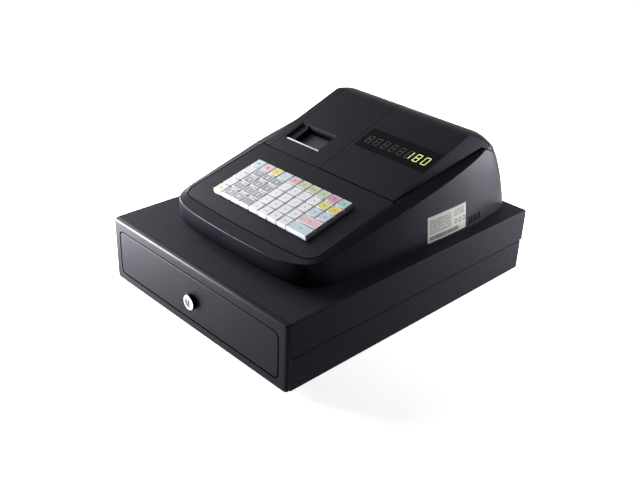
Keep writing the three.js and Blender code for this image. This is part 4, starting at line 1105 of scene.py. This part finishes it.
@dataclass
class Keyboard:
    """Keys on the deck: white caps with tinted inserts and printed legends."""

    pitch_x: float = 16.9 * MM
    pitch_y: float = 15.7 * MM
    gap: float = 0.7 * MM
    back_edge: float = 34.0 * MM
    top: float = 5.6 * MM
    skirt: float = 2.5 * MM
    seam: float = 2.3 * MM
    lip: float = 0.3 * MM
    groove: float = 0.3 * MM
    taper: float = 0.5 * MM
    corner: float = 1.0 * MM
    crown: float = 0.45 * MM
    margin: float = 0.6 * MM
    digit_margin: float = 1.0 * MM
    stem: float = 4.2 * MM
    stem_end: float = 11.5 * MM
    step: float = 0.15 * MM
    sink: float = 0.1 * MM
    sliver: float = 0.05 * MM
    corner_merge: float = 0.4 * MM
    plate_thickness: float = 1.6 * MM
    digit_size: float = 6.4 * MM
    number_size: float = 4.2 * MM
    sign_size: float = 6.0 * MM
    ink_spread: float = 0.06 * MM
    ink_thickness: float = 0.02 * MM
    ink_sink: float = 0.06 * MM
    patterns: dict[tuple[int, bool], Piece] = field(default_factory=dict)

    def build(self) -> None:
        """Builds every key and puts it on its body."""
        block: list[Piece] = []
        for spec in key_layout():
            key = joined(f"{spec.node}_cap", [self._cap(spec), self._legend(spec)])
            if spec.is_department:
                block.append(key)
            else:
                mount(key, f"{spec.node}_cap", spec.slot, spec.node)
        piece = joined("department_key_block", block + [self._plate()])
        mount(piece, "department_block", "key_white", "department_keys")
        for pattern in self.patterns.values():
            discard(pattern)

    def _place(self, spec: KeySpec, lift: float = 0.0) -> Matrix:
        """Matrix of a key's middle on the deck."""
        x = (spec.column + (spec.span - 1) / 2 - 4.5) * self.pitch_x
        return DECK_PLANE.matrix(x, -self.back_edge - (spec.row + 0.5) * self.pitch_y, lift)

    def _cap(self, spec: KeySpec) -> Piece:
        """A cap copied from its pattern, tinted for its key.

        Args:
            spec: The key.

        Returns:
            The cap in its place.
        """
        kind = (spec.span, spec.tint is Tint.GREY)
        if kind not in self.patterns:
            self.patterns[kind] = self._pattern(*kind)
        cap = duplicate(self.patterns[kind], "cap", self._place(spec))
        cap.data.materials[1] = spec.tint.finish().material()
        return cap

    def _pattern(self, span: int, is_digit: bool) -> Piece:
        """A cap with a rounded crown, an inset for its tint and a stem.

        Args:
            span: Columns that the key covers.
            is_digit: True for the smaller insert of the number keys.

        Returns:
            The pattern at the origin, the deck's surface at Z 0.
        """
        width = span * self.pitch_x - self.gap
        depth = self.pitch_y - self.gap
        base = self.skirt + self.seam
        cap = bar(f"cap_pattern_{span}", (width, depth, base), (0, 0, self.seam - base / 2))
        bevel(cap, lambda e: abs(e.verts[0].co.z - e.verts[1].co.z) > base / 2, self.corner, 4)
        bevel(cap, lambda e: all(v.co.z > self.seam - CLOSE for v in e.verts), self.lip, 2)
        for rise, reach in ((self.groove, 0.0), (self.groove, 0.7 * self.lip),
                            (self.top - self.seam - 2 * self.groove, -self.taper)):
            self._raise(cap, rise, (reach / width, reach / depth))
        bevel(cap, lambda e: all(v.co.z > self.top - CLOSE for v in e.verts), self.crown, 4)
        radius = self.corner - self.crown - self.sliver
        area = width * depth / 4

        def is_top(face: object) -> bool:
            """True for the crown's flat middle."""
            return face.normal.z > FACING and face.calc_area() > area

        inset(cap, is_top, radius)
        edit(cap, "FACE", is_top, lambda: bpy.ops.mesh.remove_doubles(threshold=self.corner_merge))
        inset(cap, is_top, (self.digit_margin if is_digit else self.margin) - radius)
        inset(cap, is_top, self.step, -self.sink)
        paint(cap, KEY, Tint.WHITE.finish())
        for face in cap.data.polygons:
            central = face.normal.z > FACING and face.center.xy.length < 100 * CLOSE
            face.material_index = int(central and self.sink / 2 < self.top - face.center.z < 10 * self.sink)
        smooth(cap, 26)
        stem = bar("stem", (self.stem, self.stem, self.stem_end), (0, 0, -self.stem_end / 2))
        paint(stem, KEY)
        return joined(f"cap_pattern_{span}_{int(is_digit)}", [cap, stem])

    @staticmethod
    def _raise(cap: Piece, rise: float, reach: Span) -> None:
        """Extrudes a cap's highest face upwards and widens it.

        Args:
            cap: The cap.
            rise: How far the face moves up.
            reach: Share of its size by which each half grows along X and Y.
        """
        top = max(v.co.z for v in cap.data.vertices) - CLOSE
        scale = (1 + 2 * reach[0], 1 + 2 * reach[1], 1.0)

        def grow() -> None:
            """Lifts the face and scales it about the cap's middle."""
            bpy.ops.mesh.extrude_region_move(TRANSFORM_OT_translate={"value": (0, 0, rise)})
            bpy.ops.transform.resize(value=scale, center_override=(0, 0, 0))

        edit(cap, "FACE", lambda f: f.normal.z > FACING and f.calc_center_median().z > top, grow)

    def _legend(self, spec: KeySpec) -> Piece:
        """A printed sign or number on a key.

        Args:
            spec: The key.

        Returns:
            The sign's mesh in its place.
        """
        prints = {Tint.GREY: (self.digit_size, DIGIT), Tint.WHITE: (self.number_size, FAINT)}
        size, finish = prints.get(spec.tint, (self.sign_size, LEGEND))
        text = added(bpy.ops.object.text_add, "legend")
        put(text.data, body=spec.legend, size=size, align_x="CENTER", align_y="CENTER",
            extrude=self.ink_thickness, offset=self.ink_spread, resolution_u=3)
        activate(text)
        bpy.ops.object.convert(target="MESH")
        mark = bpy.context.object
        mark.data.transform(self._place(spec, self.top - self.ink_sink))
        paint(mark, finish)
        return mark

    def _plate(self) -> Piece:
        """The plate that joins the four rows and columns of department keys under their caps.

        Returns:
            The plate in its place.
        """
        size = (4 * self.pitch_x - 2 * self.gap, 4 * self.pitch_y - 2 * self.gap, self.plate_thickness)
        plate = bar("department_plate", size)
        along = -self.back_edge - 3 * self.pitch_y
        plate.data.transform(DECK_PLANE.matrix(self.pitch_x, along, self.plate_thickness / 2 - self.skirt))
        paint(plate, KEY)
        return plate


@dataclass(frozen=True)
class Lamp:
    """A rectangular soft lamp: its place, the point that it faces, its sides and its watts."""

    name: str
    place: Vec3
    aim: Vec3
    size: Span
    power: float

    def build(self) -> None:
        """Hangs the lamp."""
        data = bpy.data.lights.new(self.name, "AREA")
        put(data, shape="RECTANGLE", size=self.size[0], size_y=self.size[1], energy=self.power)
        turn = (Vector(self.aim) - Vector(self.place)).to_track_quat("-Z", "Y")
        put(linked(self.name, data), location=self.place, visible_camera=False, rotation_mode="QUATERNION",
            rotation_quaternion=turn)


@dataclass
class Studio:
    """Pale floor, soft lights and the camera."""

    eye: Vec3 = (0.712231, -0.714873, 0.59113)
    right: Vec3 = (0.691551, 0.7214, 0.036599)
    up: Vec3 = (-0.363185, 0.303466, 0.880911)
    back: Vec3 = (0.624383, -0.622487, 0.471864)
    lens: float = 49.4223
    sensor_width: float = 36.0
    clip: Span = (0.02, 60.0)
    floor_size: float = 14.0
    floor_tones: Span = (0.11, 0.13)
    floor_glow: float = 0.7
    room_level: float = 0.03
    lamps: tuple[Lamp, ...] = (
        Lamp("front_left_lamp", (-0.37, -0.43, 0.058), (-0.16, -0.2, 0.045), (0.2, 0.1), 10.2),
        Lamp("rear_right_lamp", (0.34, 0.47, 0.15), (0.16, 0.2, 0.07), (0.15, 0.15), 3.7),
        Lamp("left_softbox", (-1.8, 0.0, 1.1), (0.0, 0.0, 0.1), (1.2, 1.0), 29.0),
        Lamp("low_left_softbox", (-1.5, -0.2, 0.5), (-0.1, 0.0, 0.1), (0.8, 0.6), 56.0),
    )

    def camera(self) -> None:
        """Places the camera that was solved from the photograph's edges."""
        data = bpy.data.cameras.new("camera")
        near, far = self.clip
        put(data, lens=self.lens, sensor_width=self.sensor_width, clip_start=near, clip_end=far)
        camera = linked("camera", data)
        axes = Matrix((self.right, self.up, self.back)).transposed().to_4x4()
        camera.matrix_world = Matrix.Translation(self.eye) @ axes
        bpy.context.scene.camera = camera

    def build(self) -> None:
        """Builds the floor, the world and the lamps."""
        self._floor()
        self._world()
        for lamp in self.lamps:
            lamp.build()
        bpy.context.scene.view_settings.view_transform = "Standard"

    def _floor(self) -> None:
        """Builds a pale floor that keeps a soft shadow."""
        floor = added(bpy.ops.mesh.primitive_plane_add, "floor", size=self.floor_size)
        g = Graph("floor_paper")
        fibre = g.noise(g.place, 14.0, detail=4.0)
        dark, pale = ((tone, tone, tone, 1.0) for tone in self.floor_tones)
        g.feed("Base Color", g.mixed(g.spread(fibre), dark, pale))
        g.feed("Roughness", 0.9)
        paper = g.add("ShaderNodeBsdfDiffuse", {"Color": WHITE}).outputs[0]
        glow = g.add("ShaderNodeEmission", {"Strength": self.floor_glow}).outputs[0]
        seen = g.add("ShaderNodeAddShader", {0: paper, 1: glow}).outputs[0]
        g.join(g.by_ray(g.shader.outputs["BSDF"], seen), g.output.inputs["Surface"])
        floor.data.materials.append(g.material)

    def _world(self) -> None:
        """Builds white behind the object, and a dim grey room for the rays that carry light."""
        world = bpy.data.worlds.new("room")
        bpy.context.scene.world = world
        world.use_nodes = True
        tree = Nodes(world.node_tree)
        room, seen = (tree.add("ShaderNodeBackground", {"Color": WHITE, "Strength": strength}).outputs[0]
                      for strength in (self.room_level, 1.0))
        tree.add("ShaderNodeOutputWorld", {"Surface": tree.by_ray(room, seen)})


def main() -> None:
    """Builds the studio and every sub-assembly in order."""
    studio = Studio()
    studio.camera()
    SteelHousing().build()
    CashDrawer().build()
    RegisterCase().build()
    ReceiptPrinter().build()
    SegmentDisplay().build()
    Keyboard().build()
    studio.build()


if __name__ == "__main__":
    main()
